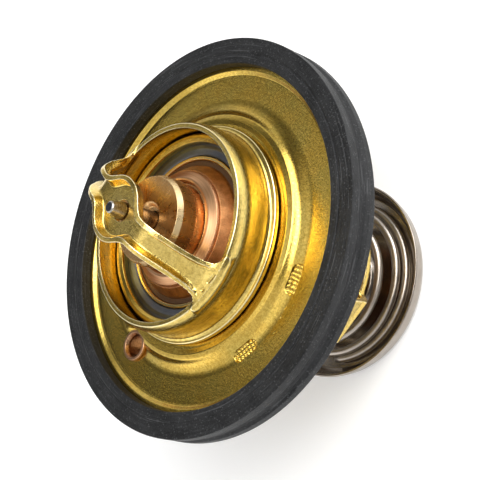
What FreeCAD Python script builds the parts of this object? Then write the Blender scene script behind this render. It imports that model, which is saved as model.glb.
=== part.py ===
import FreeCAD, Part
import Sketcher
import math
import os

# Wax thermostat insert for an engine cooling circuit.
# +Z is the valve axis and points to the bridge (engine-cold end of the pin).
# The origin is the centre of the sealing ring. +X runs along the bridge strap.
# All sizes are millimetres.

os.makedirs("parts", exist_ok=True)
doc = FreeCAD.newDocument("insert")
V = FreeCAD.Vector

# ---------------------------------------------------------------- sheet
sheet = doc.addObject("Spreadsheet::Sheet", "sheet")
DIMS = [
    # sealing ring, a channel of rubber open to the inside
    ("ringouter", 33.5), ("ringlip", 29.1), ("ringfront", 3.0), ("ringrear", -2.9),
    ("ringbevel", 0.15), ("ringvalley", 0.5), ("slotouter", 31.2), ("slotrear", 0.15),
    ("slotfront", 1.05), ("ringrearlip", 28.7),
    # drawn flange plate
    ("sheetthick", 0.85), ("flatz", 0.45), ("stepouter", 28.4), ("stepinner", 27.8),
    ("filletouter", 22.6), ("crestr", 20.2), ("crestz", 2.05), ("neckouter", 16.25),
    ("necktop", 6.2), ("seatlip", 14.7),
    # bleed eyelet
    ("eyer", 22.8), ("eyeang", -88.5), ("eyerim", 2.5), ("eyetube", 2.1), ("eyebore", 1.75),
    ("eyetop", 1.0), ("eyebottom", -2.8),
    # bridge
    ("collarinner", 16.3), ("collarouter", 17.3), ("collartop", 10.3), ("baseouter", 18.3),
    ("basez", 2.35), ("strapfloor", 18.7), ("striplip", 20.3), ("strapthick", 0.85),
    ("apexhole", 1.95),
    # piston pin
    ("pinr", 1.45), ("pinnose", 0.95), ("pintop", 21.2), ("pinbottom", -6.0),
    # wax element
    ("guider", 7.66), ("guideface", 7.0), ("guidetop", 13.3), ("guidebore", 1.5),
    ("recessr", 2.9), ("cupr", 8.6), ("cupbottom", -27.4), ("liptop", 8.5), ("lipr", 9.6),
    ("cupwall", 0.9), ("bootr", 3.0), ("bootbottom", -19.5),
    # main valve
    ("hubouter", 12.67), ("discouter", 15.0), ("discthick", 0.9),
    # springs
    ("mainwire", 1.8), ("mainr", 11.9), ("bywire", 1.5), ("bylarge", 14.5), ("bysmall", 7.0),
    # rear frame
    ("foottop", -24.2), ("footthick", 1.2), ("footr", 14.0), ("footbore", 8.65),
    ("legwidth", 9.0),
    # bypass valve
    ("dishrim", 18.0), ("dishrimz", -32.7), ("dishbase", -36.3), ("dishthick", 0.8),
    ("tailr", 2.5), ("tailend", -35.9), ("bossz", -33.6),
]
VAL = {}
for i, (name, value) in enumerate(DIMS):
    row = i + 1
    sheet.set("A%d" % row, name)
    sheet.set("B%d" % row, repr(value))
    sheet.setAlias("B%d" % row, name)
    VAL[name] = value
doc.recompute()


def val(expr):
    """The number behind an expression of sheet names."""
    if isinstance(expr, (int, float)):
        return float(expr)
    out = 0.0
    sign = 1.0
    for token in expr.replace("-", " - ").replace("+", " + ").split():
        if token == "-":
            sign = -sign
        elif token == "+":
            pass
        else:
            out += sign * (VAL[token] if token in VAL else float(token))
            sign = 1.0
    return out


def bound(expr):
    out = []
    for token in expr.replace("-", " - ").replace("+", " + ").split():
        out.append("sheet." + token if token in VAL else token)
    return " ".join(out)


def plane(body, role):
    for feature in body.Origin.OriginFeatures:
        if feature.Role == role:
            return feature
    raise RuntimeError(role)


def new_body(label):
    body = doc.addObject("PartDesign::Body", label + "_body")
    body.Label = label
    return body


def polygon(sketch, points):
    """Closed polygon whose every corner is placed by the sheet."""
    n = len(points)
    xy = [V(val(px), val(py), 0) for px, py in points]
    for i in range(n):
        sketch.addGeometry(Part.LineSegment(xy[i], xy[(i + 1) % n]), False)
    for i in range(n):
        sketch.addConstraint(Sketcher.Constraint("Coincident", i, 2, (i + 1) % n, 1))
    for i, (px, py) in enumerate(points):
        for kind, expr, axis in (("DistanceX", px, -2), ("DistanceY", py, -1)):
            number = val(expr)
            if abs(number) < 1e-9:
                sketch.addConstraint(Sketcher.Constraint("PointOnObject", i, 1, axis))
                continue
            index = sketch.addConstraint(Sketcher.Constraint(kind, -1, 1, i, 1, number))
            if isinstance(expr, str):
                name = "%s%d" % (kind[-1].lower(), i)
                sketch.renameConstraint(index, name)
                sketch.setExpression("Constraints." + name, bound(expr))


def turned(label, points):
    """A turned or drawn piece: its half section (radius, height) revolved about Z."""
    body = new_body(label)
    sketch = body.newObject("Sketcher::SketchObject", label + "_section")
    sketch.AttachmentSupport = [(plane(body, "XZ_Plane"), "")]
    sketch.MapMode = "FlatFace"
    polygon(sketch, points)
    doc.recompute()
    rev = body.newObject("PartDesign::Revolution", label + "_revolve")
    rev.Profile = sketch
    rev.ReferenceAxis = (sketch, ["V_Axis"])
    rev.Angle = 360.0
    sketch.Visibility = False
    body.Tip = rev
    doc.recompute()
    return body


# ---------------------------------------------------------------- sealing ring
gasket_ring = turned("gasket_ring", [
    ("ringlip", "ringfront"),
    ("ringouter - ringbevel", "ringfront"),
    ("ringouter", "ringfront - ringbevel"),
    ("ringouter", 1.3),
    ("ringouter - ringvalley", 0.8),
    ("ringouter - ringvalley", -0.3),
    ("ringouter", -0.8),
    ("ringouter", "ringrear + 0.9"),
    ("ringouter - 0.8", "ringrear"),
    ("ringrearlip", "ringrear"),
    ("ringrearlip", "slotrear"),
    ("slotouter", "slotrear"),
    ("slotouter", "slotfront"),
    ("ringlip", "slotfront"),
])

# ---------------------------------------------------------------- flange plate
# One drawn sheet: rim held in the rubber, step, flat zone, concave rise, crest,
# seat for the bridge, upright neck whose top turns in as the valve seat.
plate = turned("flange_plate", [
    ("slotouter", "slotfront"),
    ("stepouter", "slotfront"),
    ("stepinner", "flatz"),
    ("filletouter", "flatz"),
    ("filletouter - 0.9", "flatz + 0.25"),
    ("filletouter - 1.6", "flatz + 0.8"),
    ("crestr", "crestz"),
    ("crestr - 0.6", "crestz + 0.15"),
    ("crestr - 1.2", "crestz"),
    ("neckouter + 0.6", "crestz"),
    ("neckouter", "crestz + 0.7"),
    ("neckouter", "necktop - 0.5"),
    ("neckouter - 0.5", "necktop"),
    ("seatlip + 0.6", "necktop"),
    ("seatlip + 0.1", "necktop - 0.35"),
    ("seatlip", "necktop - 0.7"),
    ("seatlip", "necktop - 1.5"),
    ("seatlip + 0.4", "necktop - 1.5"),
    ("neckouter - 0.85", "necktop - 1.1"),
    ("neckouter - 0.85", "crestz + 0.2"),
    ("neckouter + 0.2", "crestz - 0.85"),
    ("crestr - 1.0", "crestz - 0.85"),
    ("filletouter - 2.0", "flatz - 0.1"),
    ("filletouter - 1.0", "flatz - 0.7"),
    ("filletouter", "flatz - 0.85"),
    ("stepinner + 0.2", "flatz - 0.85"),
    ("stepouter + 0.2", "slotrear"),
    ("slotouter", "slotrear"),
])

# Hole and spot face for the bleed eyelet.
hole_sketch = plate.newObject("Sketcher::SketchObject", "eyelet_hole")
hole_sketch.AttachmentSupport = [(plane(plate, "XY_Plane"), "")]
hole_sketch.MapMode = "FlatFace"
ex = VAL["eyer"] * math.cos(math.radians(VAL["eyeang"]))
ey = VAL["eyer"] * math.sin(math.radians(VAL["eyeang"]))
hole_sketch.addGeometry(Part.Circle(V(ex, ey, 0), V(0, 0, 1), VAL["eyetube"]), False)
index = hole_sketch.addConstraint(Sketcher.Constraint("Radius", 0, VAL["eyetube"]))
hole_sketch.renameConstraint(index, "tube")
hole_sketch.setExpression("Constraints.tube", "sheet.eyetube")
index = hole_sketch.addConstraint(Sketcher.Constraint("DistanceX", -1, 1, 0, 3, ex))
hole_sketch.renameConstraint(index, "cx")
hole_sketch.setExpression("Constraints.cx", "sheet.eyer * cos(sheet.eyeang * 1 deg)")
index = hole_sketch.addConstraint(Sketcher.Constraint("DistanceY", -1, 1, 0, 3, ey))
hole_sketch.renameConstraint(index, "cy")
hole_sketch.setExpression("Constraints.cy", "sheet.eyer * sin(sheet.eyeang * 1 deg)")
doc.recompute()
before = plate.Shape.Volume
pocket = plate.newObject("PartDesign::Pocket", "eyelet_pocket")
pocket.Profile = hole_sketch
pocket.Type = 1
pocket.Midplane = True
plate.Tip = pocket
doc.recompute()
assert plate.Shape.Volume < before - 5.0, "the eyelet hole cut nothing"

face_sketch = plate.newObject("Sketcher::SketchObject", "eyelet_face")
face_sketch.AttachmentSupport = [(plane(plate, "XY_Plane"), "")]
face_sketch.MapMode = "FlatFace"
face_sketch.AttachmentOffset = FreeCAD.Placement(V(0, 0, VAL["flatz"]), FreeCAD.Rotation())
face_sketch.setExpression(".AttachmentOffset.Base.z", "sheet.flatz")
face_sketch.addGeometry(Part.Circle(V(ex, ey, 0), V(0, 0, 1), VAL["eyerim"]), False)
for kind, name, number, expression, args in (
    ("Radius", "rim", VAL["eyerim"] + 0.05, "sheet.eyerim + 0.05", (0,)),
    ("DistanceX", "cx", ex, "sheet.eyer * cos(sheet.eyeang * 1 deg)", (-1, 1, 0, 3)),
    ("DistanceY", "cy", ey, "sheet.eyer * sin(sheet.eyeang * 1 deg)", (-1, 1, 0, 3)),
):
    index = face_sketch.addConstraint(Sketcher.Constraint(kind, *args, number))
    face_sketch.renameConstraint(index, name)
    face_sketch.setExpression("Constraints." + name, expression)
doc.recompute()
face_cut = plate.newObject("PartDesign::Pocket", "eyelet_spot_face")
face_cut.Profile = face_sketch
face_cut.Length = 3.0
face_cut.Reversed = True
before = plate.Shape.Volume
plate.Tip = face_cut
doc.recompute()
assert plate.Shape.Volume < before - 0.2, "the spot face cut nothing"

# ---------------------------------------------------------------- bleed eyelet
eyelet = turned("bleed_eyelet", [
    ("eyebore", "eyetop - 0.15"),
    ("eyebore + 0.15", "eyetop"),
    ("eyerim - 0.2", "eyetop"),
    ("eyerim", "eyetop - 0.2"),
    ("eyerim", "flatz"),
    ("eyetube", "flatz"),
    ("eyetube", "flatz - 0.85"),
    ("eyerim", "flatz - 0.85"),
    ("eyerim", "flatz - 1.35"),
    ("eyetube", "flatz - 1.5"),
    ("eyetube", "eyebottom"),
    ("eyebore", "eyebottom"),
])
eyelet.Placement = FreeCAD.Placement(V(ex, ey, 0), FreeCAD.Rotation())
eyelet.setExpression(".Placement.Base.x", "sheet.eyer * cos(sheet.eyeang * 1 deg)")
eyelet.setExpression(".Placement.Base.y", "sheet.eyer * sin(sheet.eyeang * 1 deg)")

# ---------------------------------------------------------------- bridge
# A drawn cup: collar with a small base flange, its front cut away on both
# sides of a strap that rises to a lobed apex. The strap's edges turn up.
collar = doc.addObject("Sketcher::SketchObject", "collar_section")
collar.Placement = FreeCAD.Placement(V(0, 0, 0), FreeCAD.Rotation(V(1, 0, 0), 90))
polygon(collar, [
    ("collarinner", "basez + 0.6"),
    ("collarinner", "collartop - 0.3"),
    ("collarinner + 0.2", "collartop"),
    ("collarinner + 0.45", "collartop"),
    ("collarouter - 0.15", "collartop - 0.6"),
    ("collarouter", "collartop - 1.4"),
    ("collarouter", "basez + 1.9"),
    ("collarouter + 0.35", "basez + 1.2"),
    ("baseouter - 0.3", "basez + 0.95"),
    ("baseouter", "basez + 0.6"),
    ("baseouter", "basez + 0.2"),
    ("baseouter - 0.3", "basez"),
    ("collarinner + 0.85", "basez"),
])
doc.recompute()
collar_rev = doc.addObject("Part::Revolution", "collar_revolve")
collar_rev.Source = collar
collar_rev.Axis = V(0, 0, 1)
collar_rev.Base = V(0, 0, 0)
collar_rev.Angle = 360.0
collar_rev.Solid = True

# strap: floor line and lip line over x (heights from the sheet's apex values)
floor_z = VAL["strapfloor"]
lip_z = VAL["striplip"]
FLOOR = [(0.0, 0.0), (6.6, 0.0), (7.5, -0.4), (8.2, -1.0), (10.0, -2.85), (12.0, -4.9),
         (14.0, -6.85), (15.2, -7.75), (16.3, -8.25), (17.6, -8.5)]
LIP = [(0.0, 0.0), (7.0, 0.0), (7.8, -0.3), (8.5, -0.95), (10.0, -2.5), (12.0, -4.5),
       (13.6, -6.1), (14.7, -7.35), (15.6, -8.6), (16.3, -9.6), (17.6, -10.6)]
WIDE = [(0.0, 5.4), (1.4, 5.2), (2.8, 4.6), (3.9, 3.65), (4.8, 2.95), (5.8, 2.6), (8.0, 2.5),
        (11.0, 2.5), (13.5, 2.6), (14.8, 2.9), (15.6, 3.4), (16.2, 4.2), (16.7, 5.1), (17.6, 6.4)]


def eased(points, reach):
    """The same line with its corners rounded, as evenly spaced points."""
    def read(px):
        px = abs(px)
        for (ax, ay), (bx, by) in zip(points, points[1:]):
            if px <= bx:
                return ay + (by - ay) * (px - ax) / (bx - ax)
        return points[-1][1]
    out = []
    for i in range(24):
        px = i * 17.2 / 23.0
        span = min(reach, 17.6 - px)
        out.append((px, sum(read(px + span * (k - 4) / 4.0) for k in range(9)) / 9.0))
    return out


FLOOR = eased(FLOOR, 0.8)
LIP = eased(LIP, 0.6)
WIDE = eased(WIDE, 0.5)


def mirrored(points):
    return [(-px, py) for px, py in reversed(points[1:])] + list(points)


def spline(points3):
    curve = Part.BSplineCurve()
    curve.interpolate([V(*p) for p in points3])
    return curve.toShape()


def offset_line(points, amount):
    out = []
    n = len(points)
    for i, (px, py) in enumerate(points):
        ax, ay = points[max(i - 1, 0)]
        bx, by = points[min(i + 1, n - 1)]
        tx, ty = bx - ax, by - ay
        length = math.hypot(tx, ty)
        out.append((px - ty / length * amount, py + tx / length * amount))
    return out


def side_band(low, high, half):
    """Closed face between two height lines, extruded to +-half in Y."""
    lo = [(px, -half, pz) for px, pz in low]
    hi = [(px, -half, pz) for px, pz in high]
    wire = Part.Wire([spline(lo), Part.makeLine(V(*lo[-1]), V(*hi[-1])),
                      spline(hi), Part.makeLine(V(*hi[0]), V(*lo[0]))])
    return Part.Face(wire).extrude(V(0, 2 * half, 0))


def plan_prism(half_width, low, high):
    up = [(px, py, low) for px, py in half_width]
    dn = [(px, -py, low) for px, py in half_width]
    wire = Part.Wire([spline(up), Part.makeLine(V(*up[-1]), V(*dn[-1])),
                      spline(dn), Part.makeLine(V(*dn[0]), V(*up[0]))])
    return Part.Face(wire).extrude(V(0, 0, high - low))


thick = VAL["strapthick"]
floor_line = mirrored([(px, floor_z + dz) for px, dz in FLOOR])
lip_line = mirrored([(px, lip_z + dz) for px, dz in LIP])
under_line = offset_line(floor_line, -thick)
wide = mirrored(WIDE)
narrow = [(px, py - thick) for px, py in wide]
outer_prism = plan_prism(wide, 4.0, 26.0)
inner_prism = plan_prism(narrow, 3.0, 27.0)
floor_band = side_band(under_line, floor_line, 9.0)
lip_band = side_band(under_line, lip_line, 9.0)
strap_shape = floor_band.common(outer_prism).fuse(lip_band.common(outer_prism.cut(inner_prism)))
limit = Part.makeCylinder(VAL["collarouter"] - 0.35, 40.0, V(0, 0, 0))
strap_shape = strap_shape.common(limit)
bore = Part.makeCylinder(VAL["pinr"], 12.0, V(0, 0, 12.0))
sink = Part.makeCone(VAL["pinr"], VAL["apexhole"], 0.35, V(0, 0, floor_z - 0.55))
mouth = Part.makeCylinder(VAL["apexhole"], 6.0, V(0, 0, floor_z - 0.2))
strap_shape = strap_shape.cut(bore.fuse([sink, mouth])).removeSplitter()
strap = doc.addObject("Part::Feature", "strap")
strap.Shape = strap_shape
strap.Placement = FreeCAD.Placement(V(0, 0, 0), FreeCAD.Rotation())
bridge = doc.addObject("Part::MultiFuse", "bridge_fuse")
bridge.Label = "bridge"
bridge.Shapes = [collar_rev, strap]
bridge.Refine = True
doc.recompute()

# ---------------------------------------------------------------- piston pin
piston_pin = turned("piston_pin", [
    (0, "pintop"),
    ("pinnose - 0.2", "pintop"),
    ("pinnose", "pintop - 0.2"),
    ("pinr", "pintop - 2.4"),
    ("pinr", "pinbottom + 6.0"),
    ("pinr - 0.75", "pinbottom + 0.5"),
    ("pinr - 1.05", "pinbottom"),
    (0, "pinbottom"),
])

# ---------------------------------------------------------------- wax element
element_guide = turned("element_guide", [
    ("guidebore", "guidetop - 1.6"),
    ("recessr - 0.4", "guidetop - 1.6"),
    ("recessr", "guidetop - 0.35"),
    ("recessr + 0.3", "guidetop"),
    ("guideface", "guidetop"),
    ("guider - 0.3", "guidetop - 0.98"),
    ("guider - 0.3", "liptop + 1.2"),
    ("guider - 0.5", "liptop + 0.5"),
    ("guider - 0.5", "liptop - 0.6"),
    ("lipr - 0.75", "liptop - 0.6"),
    ("lipr - 0.75", "liptop - 1.6"),
    ("bootr + 0.2", "liptop - 1.6"),
    ("guidebore", "liptop - 1.6"),
])
wiper_ring = turned("wiper_ring", [
    ("pinr + 0.03", "guidetop - 1.6"),
    ("recessr - 0.4", "guidetop - 1.6"),
    ("recessr - 0.2", "guidetop - 0.9"),
    ("pinr + 0.6", "guidetop - 0.75"),
    ("pinr + 0.03", "guidetop - 1.0"),
])
# Drawn copper cup: deep body, wide head, rim rolled in over the guide flange.
element_cup = turned("element_cup", [
    ("guider - 0.2", "liptop - 0.55"),
    ("guider + 0.3", "liptop - 0.3"),
    ("lipr - 0.9", "liptop - 0.32"),
    ("lipr - 0.3", "liptop - 0.75"),
    ("lipr", "liptop - 1.55"),
    ("lipr", "liptop - 2.3"),
    ("lipr - 0.25", "liptop - 2.9"),
    ("lipr - 0.25", "liptop - 4.6"),
    ("cupr", "liptop - 5.4"),
    ("cupr", "cupbottom + 0.8"),
    ("cupr - 0.8", "cupbottom"),
    (2.0, "cupbottom"),
    (2.0, "cupbottom + 1.4"),
    ("cupr - 1.4", "cupbottom + 1.4"),
    ("cupr - cupwall", "cupbottom + 2.0"),
    ("cupr - cupwall", "liptop - 2.6"),
    ("lipr - 0.75", "liptop - 2.6"),
    ("lipr - 0.75", "liptop - 0.6"),
    ("guider - 0.2", "liptop - 0.6"),
])
# Rubber boot round the pin, its flange clamped between guide and cup.
rubber_boot = turned("rubber_boot", [
    ("guidebore + 0.03", "liptop - 2.0"),
    ("guidebore + 0.5", "liptop - 2.0"),
    ("guidebore + 0.5", "liptop - 1.6"),
    ("lipr - 0.75", "liptop - 1.6"),
    ("lipr - 0.75", "liptop - 2.6"),
    ("bootr + 0.4", "liptop - 2.6"),
    ("bootr", "liptop - 3.4"),
    ("bootr", "bootbottom + 4.0"),
    ("bootr - 0.9", "bootbottom + 0.6"),
    ("bootr - 1.6", "bootbottom"),
    (0, "bootbottom"),
    (0, "pinbottom - 0.3"),
    ("pinr - 1.0", "pinbottom - 0.3"),
    ("pinr - 0.65", "pinbottom + 0.4"),
    ("guidebore + 0.03", "pinbottom + 6.0"),
])
backup_ring = turned("backup_ring", [
    ("guidebore", "liptop - 2.0"),
    ("guidebore + 0.5", "liptop - 2.0"),
    ("guidebore + 0.5", "liptop - 1.6"),
    ("guidebore", "liptop - 1.6"),
])
wax_charge = turned("wax_charge", [
    ("bootr + 0.4", "liptop - 2.6"),
    ("cupr - cupwall", "liptop - 2.6"),
    ("cupr - cupwall", "cupbottom + 2.0"),
    ("cupr - 1.4", "cupbottom + 1.4"),
    (0, "cupbottom + 1.4"),
    (0, "bootbottom"),
    ("bootr - 1.6", "bootbottom"),
    ("bootr - 0.9", "bootbottom + 0.6"),
    ("bootr", "bootbottom + 4.0"),
    ("bootr", "liptop - 3.4"),
])

# ---------------------------------------------------------------- main valve
valve_hub = turned("valve_hub", [
    ("lipr - 0.25", "liptop - 2.9"),
    ("lipr", "liptop - 2.3"),
    ("lipr", "liptop - 1.85"),
    ("lipr + 0.15", "liptop - 1.8"),
    ("hubouter - 1.75", "liptop - 3.5"),
    ("hubouter - 1.6", "liptop - 4.05"),
    ("hubouter - 0.75", "liptop - 4.05"),
    ("hubouter - 0.6", "liptop - 3.75"),
    ("hubouter - 0.45", "liptop - 3.65"),
    ("hubouter - 0.15", "liptop - 3.65"),
    ("hubouter", "liptop - 3.8"),
    ("hubouter", "liptop - 4.3"),
    ("lipr - 0.25", "liptop - 4.3"),
])
valve_disc = turned("valve_disc", [
    ("lipr - 0.25", "liptop - 4.3"),
    ("hubouter + 0.05", "liptop - 4.3"),
    ("hubouter + 0.08", "liptop - 3.95"),
    ("hubouter + 0.25", "liptop - 3.75"),
    ("seatlip - 0.8", "liptop - 3.7"),
    ("seatlip - 0.2", "liptop - 3.85"),
    ("discouter", "liptop - 3.85"),
    ("discouter", "liptop - 4.5"),
    ("discouter - 0.3", "liptop - 4.65"),
    ("lipr - 0.25", "liptop - 4.65"),
])

# ---------------------------------------------------------------- springs


def coil(label, wire, turns, radius_low, radius_high, low, high, gap):
    """Round wire wound between two heights, its two ends ground flat."""
    start = low + 0.35 * wire
    rise = high - low - 0.7 * wire
    slant = math.hypot(rise, radius_low - radius_high)
    cone = math.degrees(math.atan2(radius_low - radius_high, rise))
    helix = Part.makeHelix(slant / turns, slant, radius_high, cone)
    edge = helix.Edges[0]
    first = edge.valueAt(edge.FirstParameter)
    section = Part.Wire([Part.makeCircle(wire / 2.0, first, edge.tangentAt(edge.FirstParameter))])
    solid = Part.Wire(helix.Edges).makePipeShell([section], True, True)
    solid.rotate(V(0, 0, 0), V(1, 0, 0), 180.0)
    solid.translate(V(0, 0, start + rise))
    slab = Part.makeCylinder(40.0, high - low - 2.0 * gap, V(0, 0, low + gap))
    feature = doc.addObject("Part::Feature", label + "_coil")
    feature.Label = label
    feature.Shape = solid.common(slab)
    feature.Placement = FreeCAD.Placement(V(0, 0, 0), FreeCAD.Rotation())
    return feature


main_spring = coil("main_spring", VAL["mainwire"], 5.5, VAL["mainr"], VAL["mainr"],
                   VAL["foottop"], VAL["liptop"] - 4.65, 0.02)
bypass_spring = coil("bypass_spring", VAL["bywire"], 3.9, VAL["bylarge"], VAL["bysmall"],
                     VAL["dishbase"] + VAL["dishthick"], VAL["cupbottom"], 0.02)

# ---------------------------------------------------------------- rear frame
# One pressed strap: round foot that guides the element and carries the main
# spring, two legs, and two turned-out feet spot-welded behind the flange.
foot = doc.addObject("Part::Cylinder", "frame_foot")
foot.setExpression("Radius", "sheet.footr")
foot.setExpression("Height", "sheet.footthick")
foot.setExpression(".Placement.Base.z", "sheet.foottop - sheet.footthick")
leg = doc.addObject("Sketcher::SketchObject", "leg_section")
leg.Placement = FreeCAD.Placement(V(0, 0, 0), FreeCAD.Rotation(V(1, 0, 0), 90))
polygon(leg, [
    (6.0, "foottop"),
    ("footr - 0.3", "foottop"),
    ("footr + 0.2", "foottop + 0.6"),
    ("crestr - 1.1", "flatz - 2.6"),
    ("crestr + 0.9", "flatz - 0.85"),
    ("crestr + 5.2", "flatz - 0.85"),
    ("crestr + 5.2", "flatz - 2.05"),
    ("crestr + 1.4", "flatz - 2.05"),
    ("crestr + 0.2", "flatz - 3.1"),
    ("footr + 1.6", "foottop"),
    ("footr + 0.4", "foottop - footthick"),
    (6.0, "foottop - footthick"),
])
doc.recompute()
leg_pad = doc.addObject("Part::Extrusion", "leg_pad")
leg_pad.Base = leg
leg_pad.DirMode = "Custom"
leg_pad.Dir = V(0, 1, 0)
leg_pad.Symmetric = True
leg_pad.Solid = True
leg_pad.setExpression("LengthFwd", "sheet.legwidth")
leg_other = doc.addObject("Part::Extrusion", "leg_pad_other")
leg_other.Base = leg
leg_other.DirMode = "Custom"
leg_other.Dir = V(0, 1, 0)
leg_other.Symmetric = True
leg_other.Solid = True
leg_other.setExpression("LengthFwd", "sheet.legwidth")
leg_other.Placement = FreeCAD.Placement(V(0, 0, 0), FreeCAD.Rotation(V(0, 0, 1), 180))
frame_sum = doc.addObject("Part::MultiFuse", "frame_sum")
frame_sum.Shapes = [foot, leg_pad, leg_other]
frame_bore = doc.addObject("Part::Cylinder", "frame_bore")
frame_bore.Height = 20.0
frame_bore.setExpression("Radius", "sheet.footbore")
frame_bore.setExpression(".Placement.Base.z", "sheet.foottop - 10")
rear_frame = doc.addObject("Part::Cut", "rear_frame_cut")
rear_frame.Label = "rear_frame"
rear_frame.Base = frame_sum
rear_frame.Tool = frame_bore
rear_frame.Refine = True
doc.recompute()

# ---------------------------------------------------------------- bypass valve
tail_pin = turned("tail_pin", [
    (0, "cupbottom + 1.4"),
    (2.0, "cupbottom + 1.4"),
    (2.0, "cupbottom"),
    ("tailr + 1.4", "cupbottom"),
    ("tailr + 1.4", "cupbottom - 0.6"),
    ("tailr", "cupbottom - 0.8"),
    ("tailr", "bossz - 1.15"),
    ("tailr - 0.5", "bossz - 1.15"),
    ("tailr - 0.5", "bossz - 1.75"),
    ("tailr", "bossz - 1.75"),
    ("tailr", "tailend + 0.3"),
    ("tailr - 0.3", "tailend"),
    (0, "tailend"),
])
bypass_disc = turned("bypass_disc", [
    ("tailr + 0.06", "bossz"),
    (7.0, "bossz"),
    (8.3, "dishbase + dishthick"),
    (15.9, "dishbase + dishthick"),
    (16.7, "dishbase + dishthick + 0.6"),
    ("dishrim - 0.9", "dishrimz - 0.9"),
    ("dishrim - 0.5", "dishrimz"),
    ("dishrim - 0.15", "dishrimz"),
    ("dishrim", "dishrimz - 0.3"),
    (17.5, "dishbase + 1.4"),
    (17.0, "dishbase + 0.45"),
    (16.1, "dishbase"),
    (8.0, "dishbase"),
    (6.6, "bossz - dishthick"),
    ("tailr + 0.06", "bossz - dishthick"),
])
thrust_washer = turned("thrust_washer", [
    ("tailr + 0.03", "bossz - dishthick"),
    (5.0, "bossz - dishthick"),
    (5.0, "bossz - 1.15"),
    ("tailr + 0.03", "bossz - 1.15"),
])
# Spring clip in the tail's groove: a ring open on one side.
clip_ring = turned("clip_blank", [
    ("tailr - 0.5", "bossz - 1.2"),
    (4.6, "bossz - 1.2"),
    (4.6, "bossz - 1.7"),
    ("tailr - 0.5", "bossz - 1.7"),
])
clip_gap = doc.addObject("Part::Box", "clip_gap")
clip_gap.Length = 8.0
clip_gap.Width = 3.6
clip_gap.Height = 4.0
clip_gap.Placement = FreeCAD.Placement(V(0.2, -1.8, VAL["bossz"] - 3.5), FreeCAD.Rotation())
clip_gap.setExpression(".Placement.Base.z", "sheet.bossz - 3.5")
retaining_clip = doc.addObject("Part::Cut", "retaining_clip_cut")
retaining_clip.Label = "retaining_clip"
retaining_clip.Base = clip_ring
retaining_clip.Tool = clip_gap
doc.recompute()

# ---------------------------------------------------------------- write out
PIECES = [gasket_ring, plate, eyelet, bridge, piston_pin, element_guide, wiper_ring,
          element_cup, rubber_boot, backup_ring, wax_charge, valve_hub, valve_disc,
          main_spring, rear_frame, tail_pin, bypass_spring, bypass_disc, thrust_washer,
          retaining_clip]
for item in doc.Objects:
    if "Invalid" in item.State or "Error" in item.State:
        raise RuntimeError("%s: %s" % (item.Name, item.State))
for item in PIECES:
    shape = item.Shape
    if shape.isNull() or not shape.isValid() or len(shape.Solids) != 1:
        raise RuntimeError("%s: null, not valid or %d solids" % (item.Label, len(shape.Solids)))
    box = shape.BoundBox
    print("%-16s volume %9.2f  z %7.2f..%7.2f  r<= %.2f" % (
        item.Label, shape.Volume, box.ZMin, box.ZMax, max(box.XMax, box.YMax)))
    shape.exportStep("parts/" + item.Label + ".step")
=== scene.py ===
import bpy
import math
import numpy as np
from mathutils import Matrix, Vector


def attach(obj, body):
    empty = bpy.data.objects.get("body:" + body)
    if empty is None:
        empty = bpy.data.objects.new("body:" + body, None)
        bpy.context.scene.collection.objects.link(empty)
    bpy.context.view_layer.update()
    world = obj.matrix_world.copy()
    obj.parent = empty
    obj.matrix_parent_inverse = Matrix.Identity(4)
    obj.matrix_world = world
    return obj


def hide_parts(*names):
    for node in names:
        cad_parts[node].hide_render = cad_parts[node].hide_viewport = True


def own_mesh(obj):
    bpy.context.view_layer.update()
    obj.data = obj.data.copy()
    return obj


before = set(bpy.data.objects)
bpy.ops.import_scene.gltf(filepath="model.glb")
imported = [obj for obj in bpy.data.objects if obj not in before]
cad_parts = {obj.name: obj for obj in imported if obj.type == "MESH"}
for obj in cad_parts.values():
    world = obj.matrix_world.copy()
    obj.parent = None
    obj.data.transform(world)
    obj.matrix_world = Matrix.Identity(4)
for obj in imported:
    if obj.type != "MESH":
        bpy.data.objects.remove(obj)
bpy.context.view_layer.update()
MM = 0.001

# ================================================================ mesh helpers


def build_mesh(name, verts, faces, normals, material):
    """verts and normals in millimetres, faces as a list of integer arrays (n, k)."""
    me = bpy.data.meshes.new(name)
    verts = np.asarray(verts, float)
    me.vertices.add(len(verts))
    me.vertices.foreach_set("co", (verts * MM).astype(np.float32).ravel())
    loops, starts, at = [], [], 0
    for block in faces:
        block = np.asarray(block, int)
        if not len(block):
            continue
        loops.append(block.ravel())
        starts.append(at + np.arange(len(block)) * block.shape[1])
        at += block.size
    loops = np.concatenate(loops)
    starts = np.concatenate(starts)
    me.loops.add(len(loops))
    me.loops.foreach_set("vertex_index", loops.astype(np.int32))
    me.polygons.add(len(starts))
    me.polygons.foreach_set("loop_start", starts.astype(np.int32))
    me.update(calc_edges=True)
    me.validate()
    me.shade_smooth()
    if normals is not None:
        normals = np.asarray(normals, float)
        length = np.linalg.norm(normals, axis=1, keepdims=True)
        me.normals_split_custom_set_from_vertices((normals / np.maximum(length, 1e-9)).tolist())
    ob = bpy.data.objects.new(name, me)
    bpy.context.scene.collection.objects.link(ob)
    me.materials.append(material)
    return ob


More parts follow.
